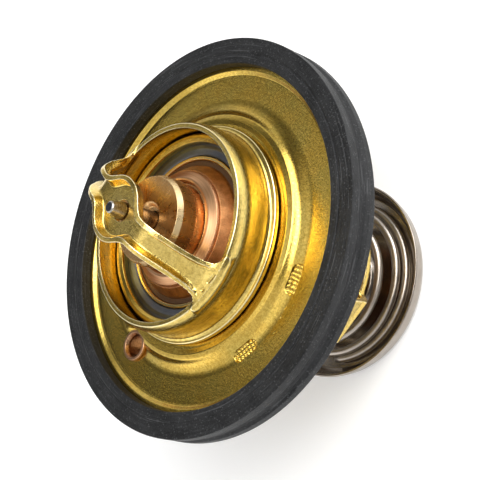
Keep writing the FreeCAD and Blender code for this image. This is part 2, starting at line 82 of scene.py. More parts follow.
def fillet(points, closed=True, step=9.0):
    """Section corners (r, z, radius) to points (n, 2) and outward normals (n, 2)."""
    pts = [(float(p[0]), float(p[1]), float(p[2]) if len(p) > 2 else 0.05) for p in points]
    n = len(pts)
    area = sum(pts[i][0] * pts[(i + 1) % n][1] - pts[(i + 1) % n][0] * pts[i][1] for i in range(n))
    side = 1.0 if area > 0 else -1.0
    P, N = [], []
    for i in range(n):
        b = np.array(pts[i][:2])
        if not closed and i in (0, n - 1):
            o = np.array(pts[1 if i == 0 else n - 2][:2])
            d = (o - b) if i == 0 else (b - o)
            d = d / np.linalg.norm(d)
            P.append(b)
            N.append(np.array([d[1], -d[0]]) * side)
            continue
        a, c = np.array(pts[i - 1][:2]), np.array(pts[(i + 1) % n][:2])
        d1, d2 = b - a, c - b
        l1, l2 = np.linalg.norm(d1), np.linalg.norm(d2)
        d1, d2 = d1 / l1, d2 / l2
        turn = math.atan2(d1[0] * d2[1] - d1[1] * d2[0], float(d1 @ d2))
        n1, n2 = np.array([d1[1], -d1[0]]) * side, np.array([d2[1], -d2[0]]) * side
        if abs(turn) < math.radians(0.5):
            P.append(b)
            N.append((n1 + n2) / 2)
            continue
        t = min(pts[i][2] * math.tan(abs(turn) / 2), 0.48 * l1, 0.48 * l2)
        radius = t / math.tan(abs(turn) / 2)
        inner = np.array([-d1[1], d1[0]]) * (1 if turn > 0 else -1)
        centre = b - d1 * t + inner * radius
        k = max(2, int(math.ceil(abs(math.degrees(turn)) / step)))
        for j in range(k + 1):
            ang = turn * j / k
            v = -inner
            v = np.array([v[0] * math.cos(ang) - v[1] * math.sin(ang),
                          v[0] * math.sin(ang) + v[1] * math.cos(ang)])
            P.append(centre + v * radius)
            m = np.array([n1[0] * math.cos(ang) - n1[1] * math.sin(ang),
                          n1[0] * math.sin(ang) + n1[1] * math.cos(ang)])
            N.append(m)
    return np.array(P), np.array(N)


def lathe(name, points, material, seg=256, closed=True, centre=(0.0, 0.0), wobble=None, step=9.0):
    """Turned piece from its half section. An open section starts and ends on the axis."""
    P, N = fillet(points, closed, step)
    ang = np.linspace(0, 2 * math.pi, seg, endpoint=False)
    ca, sa = np.cos(ang), np.sin(ang)
    verts, norms, rows = [], [], []
    at = 0
    for (r, z), (nr, nz) in zip(P, N):
        if r < 1e-6:
            verts.append(np.array([[0, 0, z]]))
            norms.append(np.array([[0, 0, 1.0 if nz > 0 else -1.0]]))
            rows.append(np.full(seg, at))
            at += 1
            continue
        rr = np.full(seg, r)
        zz = np.full(seg, z)
        if wobble is not None:
            rr, zz = wobble(rr, zz, ang)
        verts.append(np.stack([rr * ca, rr * sa, zz], 1))
        norms.append(np.stack([nr * ca, nr * sa, np.full(seg, nz)], 1))
        rows.append(at + np.arange(seg))
        at += seg
    verts, norms = np.concatenate(verts), np.concatenate(norms)
    quads, tris = [], []
    count = len(rows)
    outward = None
    for i in range(count if closed else count - 1):
        a, b = rows[i], rows[(i + 1) % count]
        an, bn = np.roll(a, -1), np.roll(b, -1)
        if len(set(a[:2])) == 1 and len(set(b[:2])) == 1:
            continue
        if len(set(a[:2])) == 1:
            tris.append(np.stack([a, b, bn], 1))
        elif len(set(b[:2])) == 1:
            tris.append(np.stack([a, b, an], 1))
        else:
            quads.append(np.stack([a, b, bn, an], 1))
    blocks = []
    for group in (quads, tris):
        if group:
            block = np.concatenate(group)
            p = verts[block[:, :3]]
            face_n = np.cross(p[:, 1] - p[:, 0], p[:, 2] - p[:, 0])
            vote = np.einsum("ij,ij->i", face_n, norms[block[:, 0]] + norms[block[:, 2]])
            if vote.sum() < 0:
                block = block[:, ::-1]
            blocks.append(block)
    verts = verts + np.array([centre[0], centre[1], 0.0])
    return build_mesh(name, verts, blocks, norms, material)


def surface_net(name, fn, lo, hi, step, material, rounds=3):
    """Closed skin of a distance field, one point per crossed cell, drawn onto the field's zero."""
    axes = [np.arange(l, h + step, step) for l, h in zip(lo, hi)]
    nx, ny, nz = (len(a) for a in axes)
    field = np.empty((nx, ny, nz), np.float32)
    for i in range(0, nx, 16):
        X, Y, Z = np.meshgrid(axes[0][i:i + 16], axes[1], axes[2], indexing="ij")
        field[i:i + 16] = fn(X, Y, Z)
    inside = field < 0
    corners = [(i, j, k) for i in (0, 1) for j in (0, 1) for k in (0, 1)]
    count = np.zeros((nx - 1, ny - 1, nz - 1), np.int8)
    for i, j, k in corners:
        count += inside[i:nx - 1 + i, j:ny - 1 + j, k:nz - 1 + k]
    cells = np.argwhere((count > 0) & (count < 8))
    ident = np.full(count.shape, -1, np.int64)
    ident[tuple(cells.T)] = np.arange(len(cells))
    values = {c: field[cells[:, 0] + c[0], cells[:, 1] + c[1], cells[:, 2] + c[2]].astype(float) for c in corners}
    total, hits = np.zeros((len(cells), 3)), np.zeros(len(cells))
    for c in corners:
        for ax in range(3):
            if c[ax]:
                continue
            d = list(c)
            d[ax] = 1
            va, vb = values[c], values[tuple(d)]
            cross = (va < 0) != (vb < 0)
            t = np.where(cross, va / np.where(cross, va - vb, 1), 0)
            p = np.tile(np.array(c, float), (len(cells), 1))
            p[:, ax] += t
            total += p * cross[:, None]
            hits += cross
    pts = np.array([a[0] for a in axes]) + (cells + total / hits[:, None]) * step
    anchor = pts.copy()

    def grad(p, e):
        g = np.empty_like(p)
        for ax in range(3):
            q = p.copy()
            q[:, ax] += e
            up = fn(q[:, 0], q[:, 1], q[:, 2])
            q[:, ax] -= 2 * e
            g[:, ax] = (up - fn(q[:, 0], q[:, 1], q[:, 2])) / (2 * e)
        return g
    for _ in range(rounds):
        g = grad(pts, 0.01)
        v = fn(pts[:, 0], pts[:, 1], pts[:, 2])
        pts = pts - g * (v / np.maximum((g * g).sum(1), 0.05))[:, None]
        pts = anchor + np.clip(pts - anchor, -0.6 * step, 0.6 * step)
    normals = grad(pts, 0.03)
    quads = []
    for ax in range(3):
        u, w = (ax + 1) % 3, (ax + 2) % 3
        a = inside
        sl0, sl1 = [slice(None)] * 3, [slice(None)] * 3
        sl0[ax], sl1[ax] = slice(0, -1), slice(1, None)
        change = a[tuple(sl0)] != a[tuple(sl1)]
        idx = np.argwhere(change)
        idx = idx[(idx[:, u] > 0) & (idx[:, w] > 0)
                  & (idx[:, u] < a.shape[u] - 1) & (idx[:, w] < a.shape[w] - 1)]
        du, dw = np.zeros(3, int), np.zeros(3, int)
        du[u], dw[w] = 1, 1
        q = np.stack([ident[tuple((idx - du - dw).T)], ident[tuple((idx - dw).T)],
                      ident[tuple(idx.T)], ident[tuple((idx - du).T)]], 1)
        flip = ~a[tuple(idx.T)]
        q[flip] = q[flip][:, ::-1]
        quads.append(q)
    quads = np.concatenate(quads)
    quads = quads[(quads >= 0).all(1)]
    # how sharply the skin turns outwards at each point, for the painted highlight on convex edges
    h = 0.14
    turn = -6.0 * fn(pts[:, 0], pts[:, 1], pts[:, 2])
    for ax in range(3):
        for sign in (-h, h):
            q = pts.copy()
            q[:, ax] += sign
            turn = turn + fn(q[:, 0], q[:, 1], q[:, 2])
    ob = build_mesh(name, pts, [quads], normals, material)
    if len(ob.data.vertices) == len(pts):
        attr = ob.data.attributes.new("painted_edge_highlight", "FLOAT", "POINT")
        attr.data.foreach_set("value", np.clip(turn / (h * h) / 4.5, 0.0, 1.0).astype(np.float32))
    return ob


def smax(a, b, k):
    h = np.maximum(k - np.abs(a - b), 0.0) / k
    return np.maximum(a, b) + h * h * k * 0.25


def smin(a, b, k):
    return -smax(-a, -b, k)


def smooth(t):
    t = np.clip(t, 0.0, 1.0)
    return t * t * (3 - 2 * t)


def tube(name, path, wire, material, sides=20, axis_tilt=None, flat_low=None, flat_high=None, cap=0.12):
    """Round wire along points (n, 3), with ends cut square and slightly eased."""
    path = np.asarray(path, float)
    tang = np.gradient(path, axis=0)
    tang /= np.linalg.norm(tang, axis=1, keepdims=True)
    up = np.array([0, 0, 1.0])
    side = np.cross(tang, up)
    side /= np.linalg.norm(side, axis=1, keepdims=True)
    top = np.cross(side, tang)
    ang = np.linspace(0, 2 * math.pi, sides, endpoint=False)
    rings, norms = [], []
    n = len(path)
    start = [(0.0, wire - cap, 0.0), (0.0, wire - cap, 0.0)]

    def ring(i, radius, shift, axial):
        c = path[i] + tang[i] * shift
        d = side[i] * np.cos(ang)[:, None] + top[i] * np.sin(ang)[:, None]
        nn = d * (1 - abs(axial)) + tang[i] * axial
        rings.append(c + d * radius)
        norms.append(nn)
    ring(0, wire - cap, 0.0, -1.0)
    ring(0, wire - cap * 0.3, cap * 0.3, -0.6)
    for i in range(1, n - 1):
        ring(i, wire, 0.0, 0.0)
    ring(n - 1, wire - cap * 0.3, -cap * 0.3, 0.6)
    ring(n - 1, wire - cap, 0.0, 1.0)
    verts = np.concatenate(rings)
    normals = np.concatenate(norms)
    m = len(rings)
    idx = np.arange(m * sides).reshape(m, sides)
    a, b = idx[:-1], idx[1:]
    quads = np.stack([a, np.roll(a, -1, 1), np.roll(b, -1, 1), b], 2).reshape(-1, 4)
    nv = len(verts)
    verts = np.concatenate([verts, path[:1], path[-1:]])
    normals = np.concatenate([normals, -tang[:1], tang[-1:]])
    t0 = np.stack([np.full(sides, nv), np.roll(idx[0], -1), idx[0]], 1)
    t1 = np.stack([np.full(sides, nv + 1), idx[-1], np.roll(idx[-1], -1)], 1)
    p = verts[quads[:, :3]]
    vote = np.einsum("ij,ij->i", np.cross(p[:, 1] - p[:, 0], p[:, 2] - p[:, 0]), normals[quads[:, 0]])
    if vote.sum() < 0:
        quads, t0, t1 = quads[:, ::-1], t0[:, ::-1], t1[:, ::-1]
    # ground faces: the wire's first and last coils are cut level
    for level, sign in ((flat_low, -1), (flat_high, 1)):
        if level is not None:
            over = (verts[:, 2] - level) * sign > 0
            verts[over, 2] = level
            normals[over] = (0, 0, sign)
    return build_mesh(name, verts, [quads, np.concatenate([t0, t1])], normals, material)


# ================================================================ materials


EYE_X, EYE_Y = 22.8 * math.cos(math.radians(-88.5)), 22.8 * math.sin(math.radians(-88.5))


class Mat:
    """A small writer for procedural materials. Lengths are millimetres in the part's frame."""

    def __init__(self, name):
        self.m = bpy.data.materials.new(name)
        self.m.use_nodes = True
        self.t = self.m.node_tree
        self.n, self.l = self.t.nodes, self.t.links
        self.b = self.n["Principled BSDF"]
        tc = self.n.new("ShaderNodeTexCoord")
        sc = self.n.new("ShaderNodeVectorMath")
        sc.operation = "SCALE"
        sc.inputs["Scale"].default_value = 1000.0
        self.l.new(tc.outputs["Object"], sc.inputs[0])
        self.P = sc.outputs[0]
        sep = self.n.new("ShaderNodeSeparateXYZ")
        self.l.new(self.P, sep.inputs[0])
        self.x, self.y, self.z = sep.outputs

    def put(self, socket, value):
        if isinstance(value, (int, float)):
            socket.default_value = value
        elif isinstance(value, (tuple, list)):
            if len(value) == 3 and len(socket.default_value) == 4:
                value = tuple(value) + (1.0,)
            socket.default_value = value
        else:
            self.l.new(value, socket)

    def math(self, op, a, b=0.0, c=None, clamp=False):
        n = self.n.new("ShaderNodeMath")
        n.operation = op
        n.use_clamp = clamp
        self.put(n.inputs[0], a)
        self.put(n.inputs[1], b)
        if c is not None:
            self.put(n.inputs[2], c)
        return n.outputs[0]

    def vec(self, x, y, z):
        n = self.n.new("ShaderNodeCombineXYZ")
        for s, v in zip(n.inputs, (x, y, z)):
            self.put(s, v)
        return n.outputs[0]

    def vscale(self, v, s):
        n = self.n.new("ShaderNodeVectorMath")
        n.operation = "MULTIPLY"
        self.put(n.inputs[0], v)
        n.inputs[1].default_value = s if isinstance(s, tuple) else (s, s, s)
        return n.outputs[0]

    def noise(self, v, scale, detail=2.0, rough=0.5, distort=0.0):
        n = self.n.new("ShaderNodeTexNoise")
        self.put(n.inputs["Vector"], v)
        n.inputs["Scale"].default_value = scale
        n.inputs["Detail"].default_value = detail
        n.inputs["Roughness"].default_value = rough
        n.inputs["Distortion"].default_value = distort
        return n.outputs[0]

    def cells(self, v, scale, feature="F1", randomness=1.0):
        n = self.n.new("ShaderNodeTexVoronoi")
        n.feature = feature
        self.put(n.inputs["Vector"], v)
        n.inputs["Scale"].default_value = scale
        n.inputs["Randomness"].default_value = randomness
        return n.outputs["Distance"]

    def span(self, v, a, b, lo=0.0, hi=1.0):
        n = self.n.new("ShaderNodeMapRange")
        n.interpolation_type = "SMOOTHSTEP"
        self.put(n.inputs[0], v)
        for i, x in zip((1, 2, 3, 4), (a, b, lo, hi)):
            n.inputs[i].default_value = x
        return n.outputs[0]

    def line(self, v, a, b, lo=0.0, hi=1.0):
        n = self.n.new("ShaderNodeMapRange")
        self.put(n.inputs[0], v)
        for i, x in zip((1, 2, 3, 4), (a, b, lo, hi)):
            n.inputs[i].default_value = x
        return n.outputs[0]

    def mix(self, fac, a, b):
        n = self.n.new("ShaderNodeMix")
        n.data_type = "RGBA"
        self.put(n.inputs["Factor"], fac)
        self.put(n.inputs[6], a)
        self.put(n.inputs[7], b)
        return n.outputs[2]

    def ramp(self, fac, stops):
        n = self.n.new("ShaderNodeValToRGB")
        e = n.color_ramp.elements
        while len(e) < len(stops):
            e.new(0.5)
        for el, (p, c) in zip(e, stops):
            el.position = p
            el.color = tuple(c) + (1.0,)
        self.put(n.inputs[0], fac)
        return n.outputs[0]

    def bump(self, height, depth_mm, strength=1.0, normal=None):
        n = self.n.new("ShaderNodeBump")
        n.inputs["Strength"].default_value = strength
        n.inputs["Distance"].default_value = depth_mm * MM
        self.put(n.inputs["Height"], height)
        if normal is not None:
            self.put(n.inputs["Normal"], normal)
        return n.outputs[0]

    def round_coords(self, cx=0.0, cy=0.0):
        """(radius, unit x, unit y) about an axis parallel to Z."""
        x = self.math("SUBTRACT", self.x, cx)
        y = self.math("SUBTRACT", self.y, cy)
        r = self.math("SQRT", self.math("ADD", self.math("MULTIPLY", x, x), self.math("MULTIPLY", y, y)))
        r = self.math("MAXIMUM", r, 0.001)
        return r, self.math("DIVIDE", x, r), self.math("DIVIDE", y, r)

    def out(self, color=None, rough=None, metallic=None, normal=None, **fixed):
        if color is not None:
            self.put(self.b.inputs["Base Color"], color)
        if rough is not None:
            self.put(self.b.inputs["Roughness"], rough)
        if metallic is not None:
            self.put(self.b.inputs["Metallic"], metallic)
        if normal is not None:
            self.put(self.b.inputs["Normal"], normal)
        for k, v in fixed.items():
            self.put(self.b.inputs[k.replace("_", " ")], v)
        return self.m


def rubber_material(name, base=(0.0006, 0.0007, 0.0010), lift=(0.062, 0.063, 0.066)):
    m = Mat(name)
    r, ux, uy = m.round_coords()
    fine = m.noise(m.P, 2.7, 5.0, 0.8)
    dust = m.span(m.noise(m.P, 5.0, 2.0, 0.6), 0.60, 0.74)
    specks = m.cells(m.P, 2.0)
    speck = m.span(specks, 0.28, 0.12, 0.0, 1.0)
    clouds = m.noise(m.P, 0.22, 4.0, 0.6)
    arc = m.vec(m.math("MULTIPLY", ux, 4.0), m.math("MULTIPLY", uy, 4.0), m.math("MULTIPLY", m.math("ADD", r, m.math("MULTIPLY", m.z, 0.7)), 3.6))
    streak = m.noise(arc, 1.0, 4.0, 0.65)
    line = m.math("MULTIPLY", m.math("ADD", r, m.math("MULTIPLY", m.z, 0.6)), 5.0)
    scratch = m.span(m.noise(m.vec(m.math("MULTIPLY", ux, 3.1), m.math("MULTIPLY", uy, 3.1), line), 1.0, 2.0, 0.5), 0.64, 0.70)
    tone = m.math("ADD", m.line(fine, 0.40, 0.66, 0.0, 0.22), m.math("MULTIPLY", speck, 0.75))
    tone = m.math("ADD", tone, m.math("MULTIPLY", dust, 0.60))
    tone = m.math("ADD", tone, m.line(streak, 0.35, 0.7, 0.0, 0.20))
    tone = m.math("ADD", tone, m.line(clouds, 0.38, 0.66, 0.0, 0.16))
    tone = m.math("ADD", tone, m.math("MULTIPLY", scratch, 0.65), clamp=True)
    color = m.mix(tone, base, lift)
    rough = m.line(m.math("ADD", fine, m.math("MULTIPLY", streak, 0.5)), 0.4, 1.1, 0.40, 0.60)
    height = m.math("ADD", m.math("ADD", fine, m.math("MULTIPLY", speck, 0.5)), m.math("MULTIPLY", streak, 0.7))
    return m.out(color, rough, 0.0, m.bump(height, 0.085, 0.9), IOR=1.5, Specular_IOR_Level=0.24)


def sheet_brass():
    m = Mat("sheet_brass")
    r, ux, uy = m.round_coords()
    grain = m.noise(m.P, 5.5, 3.0, 0.6)
    pebble = m.cells(m.P, 3.2, "SMOOTH_F1")
    fine = m.noise(m.P, 16.0, 2.0, 0.5)
    clouds = m.noise(m.P, 0.16, 3.0, 0.6)
    arc = m.vec(m.math("MULTIPLY", ux, 6.0), m.math("MULTIPLY", uy, 6.0), m.math("MULTIPLY", r, 6.0))
    streak = m.noise(arc, 1.0, 3.0, 0.6)
    mottle = m.noise(m.P, 2.3, 4.0, 0.7)
    tone = m.math("ADD", m.line(grain, 0.34, 0.66, 0.0, 0.35), m.line(mottle, 0.36, 0.64, 0.0, 0.55))
    tone = m.math("ADD", tone, m.line(streak, 0.3, 0.7, 0.0, 0.15), clamp=True)
    warm = m.mix(m.line(clouds, 0.38, 0.62, 0.0, 1.0), (0.76, 0.555, 0.145), (0.82, 0.56, 0.125))
    dark = m.mix(m.line(clouds, 0.38, 0.62, 0.0, 1.0), (0.40, 0.285, 0.044), (0.46, 0.285, 0.038))
    color = m.mix(tone, dark, warm)
    rough = m.line(grain, 0.3, 0.7, 0.22, 0.13)
    height = m.math("ADD", m.math("MULTIPLY", grain, 0.8), m.math("MULTIPLY", mottle, 0.9))
    height = m.math("ADD", height, m.math("MULTIPLY", pebble, 0.4))
    height = m.math("ADD", height, m.math("MULTIPLY", fine, 0.25))
    return m.out(color, rough, 1.0, m.bump(height, 0.026, 0.65))


def strap_brass():
    m = Mat("strap_brass")
    r, ux, uy = m.round_coords()
    fine = m.noise(m.P, 11.0, 3.0, 0.6)
    speck = m.cells(m.P, 5.0, "SMOOTH_F1")
    clouds = m.noise(m.P, 0.22, 3.0, 0.6)
    arc = m.vec(m.math("MULTIPLY", ux, 3.0), m.math("MULTIPLY", uy, 3.0), m.math("MULTIPLY", m.math("ADD", r, m.z), 3.5))
    streak = m.noise(arc, 1.0, 3.0, 0.6)
    mottle = m.noise(m.P, 1.9, 4.0, 0.7)
    tone = m.math("ADD", m.line(fine, 0.34, 0.66, 0.0, 0.4), m.line(streak, 0.34, 0.66, 0.0, 0.35))
    tone = m.math("ADD", tone, m.line(mottle, 0.36, 0.60, 0.0, 0.5), clamp=True)
    warm = m.mix(m.line(clouds, 0.38, 0.62, 0.0, 1.0), (0.88, 0.67, 0.22), (0.88, 0.64, 0.18))
    edge = m.n.new("ShaderNodeAttribute")
    edge.attribute_name = "painted_edge_highlight"
    # painted highlight: convex sheet edges are coloured pale gold all round
    edge_highlight_mask = m.span(m.math("ADD", edge.outputs["Fac"], m.line(fine, 0.3, 0.7, -0.22, 0.22)), 0.45, 0.80)
    color = m.mix(edge_highlight_mask, m.mix(tone, (0.44, 0.31, 0.065), warm), (0.95, 0.82, 0.46))
    rough = m.line(m.math("ADD", fine, streak), 0.7, 1.3, 0.13, 0.24)
    height = m.math("ADD", m.math("MULTIPLY", fine, 0.5), m.math("MULTIPLY", speck, 0.4))
    height = m.math("ADD", height, m.math("MULTIPLY", mottle, 0.8))
    return m.out(color, rough, 1.0, m.bump(height, 0.030, 0.75))


def turned_copper(name, light=(0.87, 0.55, 0.25), dark=(0.50, 0.27, 0.105), rough_a=0.20, rough_b=0.36):
    m = Mat(name)
    r, ux, uy = m.round_coords()
    ring = m.noise(m.vec(m.math("MULTIPLY", r, 9.0), m.math("MULTIPLY", m.z, 9.0), m.math("MULTIPLY", ux, 0.6)), 1.0, 3.0, 0.7)
    stain = m.noise(m.vec(m.math("MULTIPLY", ux, 6.0), m.math("MULTIPLY", uy, 6.0), m.math("MULTIPLY", m.math("ADD", m.z, r), 0.5)), 1.0, 4.0, 0.6)
    fine = m.noise(m.P, 9.0, 3.0, 0.6)
    tone = m.math("ADD", m.line(ring, 0.3, 0.7, 0.0, 0.45), m.line(stain, 0.35, 0.65, 0.0, 0.5))
    tone = m.math("ADD", tone, m.line(fine, 0.3, 0.7, 0.0, 0.2), clamp=True)
    # painted highlight: the guide's front chamfer (r above 7.0, z above 12.36) is coloured pale gold all round
    edge = m.math("MULTIPLY", m.span(r, 6.93, 7.0), m.span(m.z, 12.27, 12.36))
    color = m.mix(edge, m.mix(tone, dark, light), (0.90, 0.67, 0.36))
    rough = m.line(stain, 0.35, 0.65, rough_b, rough_a)
    height = m.math("ADD", ring, m.math("MULTIPLY", fine, 0.25))
    return m.out(color, rough, 1.0, m.bump(height, 0.012, 0.7))


def copper_cup():
    m = Mat("copper_cup")
    r, ux, uy = m.round_coords()
    ring = m.noise(m.vec(m.math("MULTIPLY", r, 7.0), m.math("MULTIPLY", m.z, 7.0), m.math("MULTIPLY", ux, 1.2)), 1.0, 3.0, 0.65)
    fine = m.noise(m.P, 6.0, 4.0, 0.65)
    band = m.span(m.z, 7.55, 6.9, 0.0, 1.0)
    polished = m.mix(m.line(ring, 0.3, 0.7, 0.0, 1.0), (0.50, 0.26, 0.12), (0.78, 0.46, 0.25))
    brown = m.mix(m.line(fine, 0.32, 0.68, 0.0, 1.0), (0.33, 0.15, 0.07), (0.80, 0.44, 0.24))
    color = m.mix(band, polished, brown)
    rough = m.line(m.math("ADD", m.math("MULTIPLY", band, 0.8), m.math("MULTIPLY", fine, 0.4)), 0.1, 1.1, 0.30, 0.44)
    height = m.math("MULTIPLY", m.math("ADD", fine, m.math("MULTIPLY", ring, 0.4)), m.math("ADD", m.math("MULTIPLY", band, 0.9), 0.15))
    return m.out(color, rough, 1.0, m.bump(height, 0.06, 0.8))


def hub_material():
    """Rough coppery cone, painted dark shade in the hollow inside the ring, bright outer ring."""
    m = Mat("hub_brass")
    r, ux, uy = m.round_coords()
    fine = m.noise(m.P, 6.5, 4.0, 0.65)
    stain = m.noise(m.vec(m.math("MULTIPLY", ux, 7.0), m.math("MULTIPLY", uy, 7.0), m.math("MULTIPLY", r, 0.8)), 1.0, 4.0, 0.6)
    turn = m.noise(m.vec(m.math("MULTIPLY", r, 9.0), m.math("MULTIPLY", m.z, 9.0), m.math("MULTIPLY", ux, 0.8)), 1.0, 3.0, 0.65)
    tone = m.math("ADD", m.line(fine, 0.3, 0.7, 0.0, 0.55), m.line(stain, 0.35, 0.65, 0.0, 0.45), clamp=True)
    cone = m.mix(tone, (0.30, 0.125, 0.045), (0.80, 0.42, 0.18))
    gold = m.mix(m.line(turn, 0.3, 0.7, 0.0, 1.0), (0.80, 0.58, 0.22), (0.93, 0.72, 0.32))
    # painted shade colour for the hollow between the cone and the outer ring
    dark = m.mix(m.line(fine, 0.3, 0.7, 0.0, 1.0), (0.10, 0.055, 0.03), (0.26, 0.15, 0.085))
    groove_shade = m.span(r, 11.02, 11.16)
    rim = m.span(r, 11.93, 12.03)
    color = m.mix(rim, m.mix(groove_shade, cone, dark), gold)
    matt = m.math("SUBTRACT", 1.0, rim)
    rough = m.line(m.math("ADD", m.math("MULTIPLY", matt, 0.7), m.math("MULTIPLY", fine, 0.5)), 0.1, 1.2, 0.13, 0.44)
    height = m.math("ADD", m.math("MULTIPLY", fine, m.math("ADD", m.math("MULTIPLY", matt, 0.8), 0.1)), m.math("MULTIPLY", turn, 0.3))
    return m.out(color, rough, 1.0, m.bump(height, 0.04, 0.8))


def eyelet_copper():
    m = Mat("eyelet_copper")
    r, ux, uy = m.round_coords(EYE_X, EYE_Y)
    fine = m.noise(m.P, 5.0, 3.0, 0.6)
    n = m.line(fine, 0.3, 0.7, 0.0, 1.0)
    rim = m.mix(n, (0.42, 0.21, 0.10), (0.74, 0.45, 0.27))
    # painted shade: the hole's wall below z 0.35 is coloured dark brown
    bore_shade = m.mix(n, (0.16, 0.065, 0.022), (0.40, 0.19, 0.07))
    color = m.mix(m.span(m.z, 0.85, 0.35), rim, bore_shade)
    return m.out(color, m.line(fine, 0.3, 0.7, 0.24, 0.40), 1.0, m.bump(fine, 0.03, 0.6))


def steel(name, light, dark, rough_a, rough_b, depth=0.01, metallic=1.0):
    m = Mat(name)
    r, ux, uy = m.round_coords()
    ring = m.noise(m.vec(m.math("MULTIPLY", r, 8.0), m.math("MULTIPLY", m.z, 8.0), m.math("MULTIPLY", ux, 1.5)), 1.0, 3.0, 0.6)
    fine = m.noise(m.P, 8.0, 3.0, 0.6)
    clouds = m.noise(m.P, 0.5, 3.0, 0.5)
    tone = m.math("ADD", m.line(ring, 0.3, 0.7, 0.0, 0.4), m.line(clouds, 0.35, 0.65, 0.0, 0.35))
    tone = m.math("ADD", tone, m.line(fine, 0.3, 0.7, 0.0, 0.25), clamp=True)
    rough = m.line(m.math("ADD", ring, fine), 0.7, 1.3, rough_a, rough_b)
    return m.out(m.mix(tone, dark, light), rough, metallic, m.bump(m.math("ADD", ring, fine), depth, 0.6))


def pin_material():
    """Steel with painted light: a dark blue-grey painted shade on the end, a bright painted highlight on the eased
    edge, and a brown tint along the sides that is a painted reflection of the brass strap.
    """
    m = Mat("pin_steel")
    r, ux, uy = m.round_coords()
    fine = m.noise(m.P, 8.0, 3.0, 0.6)
    ring = m.noise(m.vec(m.math("MULTIPLY", r, 8.0), m.math("MULTIPLY", m.z, 8.0), m.math("MULTIPLY", ux, 1.5)), 1.0, 3.0, 0.6)
    n = m.line(m.math("ADD", fine, ring), 0.7, 1.3, 0.0, 1.0)
    # painted reflection: the brown tint stands for the brass strap mirrored in the steel
    shaft_reflection = m.mix(n, (0.20, 0.15, 0.095), (0.46, 0.37, 0.25))
    end = m.mix(n, (0.055, 0.062, 0.078), (0.13, 0.14, 0.165))
    edge = m.mix(n, (0.36, 0.34, 0.30), (0.56, 0.53, 0.48))
    # painted highlight on the eased edge and painted shade on the end face
    high = m.span(m.z, 20.92, 20.98)
    flat = m.math("MULTIPLY", high, m.span(r, 0.80, 0.74))
    color = m.mix(flat, m.mix(high, shaft_reflection, edge), end)
    return m.out(color, m.line(n, 0.0, 1.0, 0.22, 0.38), 1.0, m.bump(m.math("ADD", fine, ring), 0.010, 0.6))


def plain(name, a, b, rough, scale=2.0):
    m = Mat(name)
    n = m.noise(m.P, scale, 3.0, 0.6)
    return m.out(m.mix(m.line(n, 0.3, 0.7, 0.0, 1.0), a, b), m.line(n, 0.3, 0.7, rough, rough + 0.1), 0.0, m.bump(n, 0.03, 0.5))


RUBBER = rubber_material("seal_rubber")
BRASS = sheet_brass()
STRAP = strap_brass()
TURNED = turned_copper("turned_brass")
HUB = hub_material()
CUP = copper_cup()
EYELET = eyelet_copper()
PIN = pin_material()
DISC = steel("valve_steel", (0.20, 0.215, 0.25), (0.10, 0.11, 0.135), 0.30, 0.42, 0.012)
WIRE = steel("spring_steel", (0.56, 0.505, 0.445), (0.38, 0.335, 0.285), 0.26, 0.40, 0.010)
DISH = steel("dish_steel", (0.45, 0.40, 0.35), (0.30, 0.26, 0.22), 0.16, 0.27, 0.004)
BOOT = rubber_material("boot_rubber", (0.012, 0.012, 0.012), (0.05, 0.05, 0.05))
WAX = plain("wax", (0.78, 0.70, 0.48), (0.86, 0.80, 0.60), 0.55)
WHITE = plain("white_plastic", (0.82, 0.82, 0.80), (0.90, 0.90, 0.88), 0.35)

# ================================================================ the ring and the plate

PIECES = []


def done(ob, node, body):
    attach(ob, body)
    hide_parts(node)
    PIECES.append(ob)
    return ob


ring = lathe("seal_ring", [
    (29.1, 3.0, 0.22), (30.52, 3.0, 0.06), (30.66, 2.90, 0.06), (30.92, 2.90, 0.06), (31.06, 3.0, 0.06),
    (33.5, 3.0, 0.17), (33.5, 1.35, 0.35), (33.05, 0.8, 0.5), (33.05, -0.3, 0.5),
    (33.5, -0.8, 0.3), (33.5, -2.0, 0.25), (32.7, -2.9, 0.3), (28.7, -2.9, 0.2), (28.7, 0.15, 0.04),
    (31.2, 0.15, 0.04), (31.2, 1.05, 0.04), (29.1, 1.05, 0.12)], RUBBER, seg=360)
done(ring, "gasket_ring", "flange_group")

EX, EY = EYE_X, EYE_Y
EYE_FLAT = 0.45
LOZENGES = [(22.6, 19.0), (22.6, -17.0)]

PLATE = [
    (31.2, 1.05, 0.04), (28.45, 1.05, 0.3), (27.85, 0.45, 0.3), (22.9, 0.45, 4.0), (21.35, 1.05, 2.8),
    (20.55, 1.95, 0.5), (19.75, 2.2, 0.5), (18.9, 2.05, 0.3), (16.85, 2.05, 0.3), (16.25, 2.75, 0.3), (16.25, 5.7, 0.2),
    (15.75, 6.2, 0.35), (15.3, 6.2, 0.3), (14.8, 5.85, 0.2), (14.7, 5.5, 0.15), (14.7, 4.7, 0.06),
    (15.1, 4.7, 0.06), (15.4, 5.1, 0.15), (15.4, 2.25, 0.5), (16.45, 1.2, 0.5), (19.2, 1.2, 0.7),
    (20.6, 0.35, 0.8), (21.6, -0.25, 1.0), (22.6, -0.4, 0.8), (28.0, -0.4, 0.3), (28.6, 0.15, 0.3), (31.2, 0.15, 0.04)]


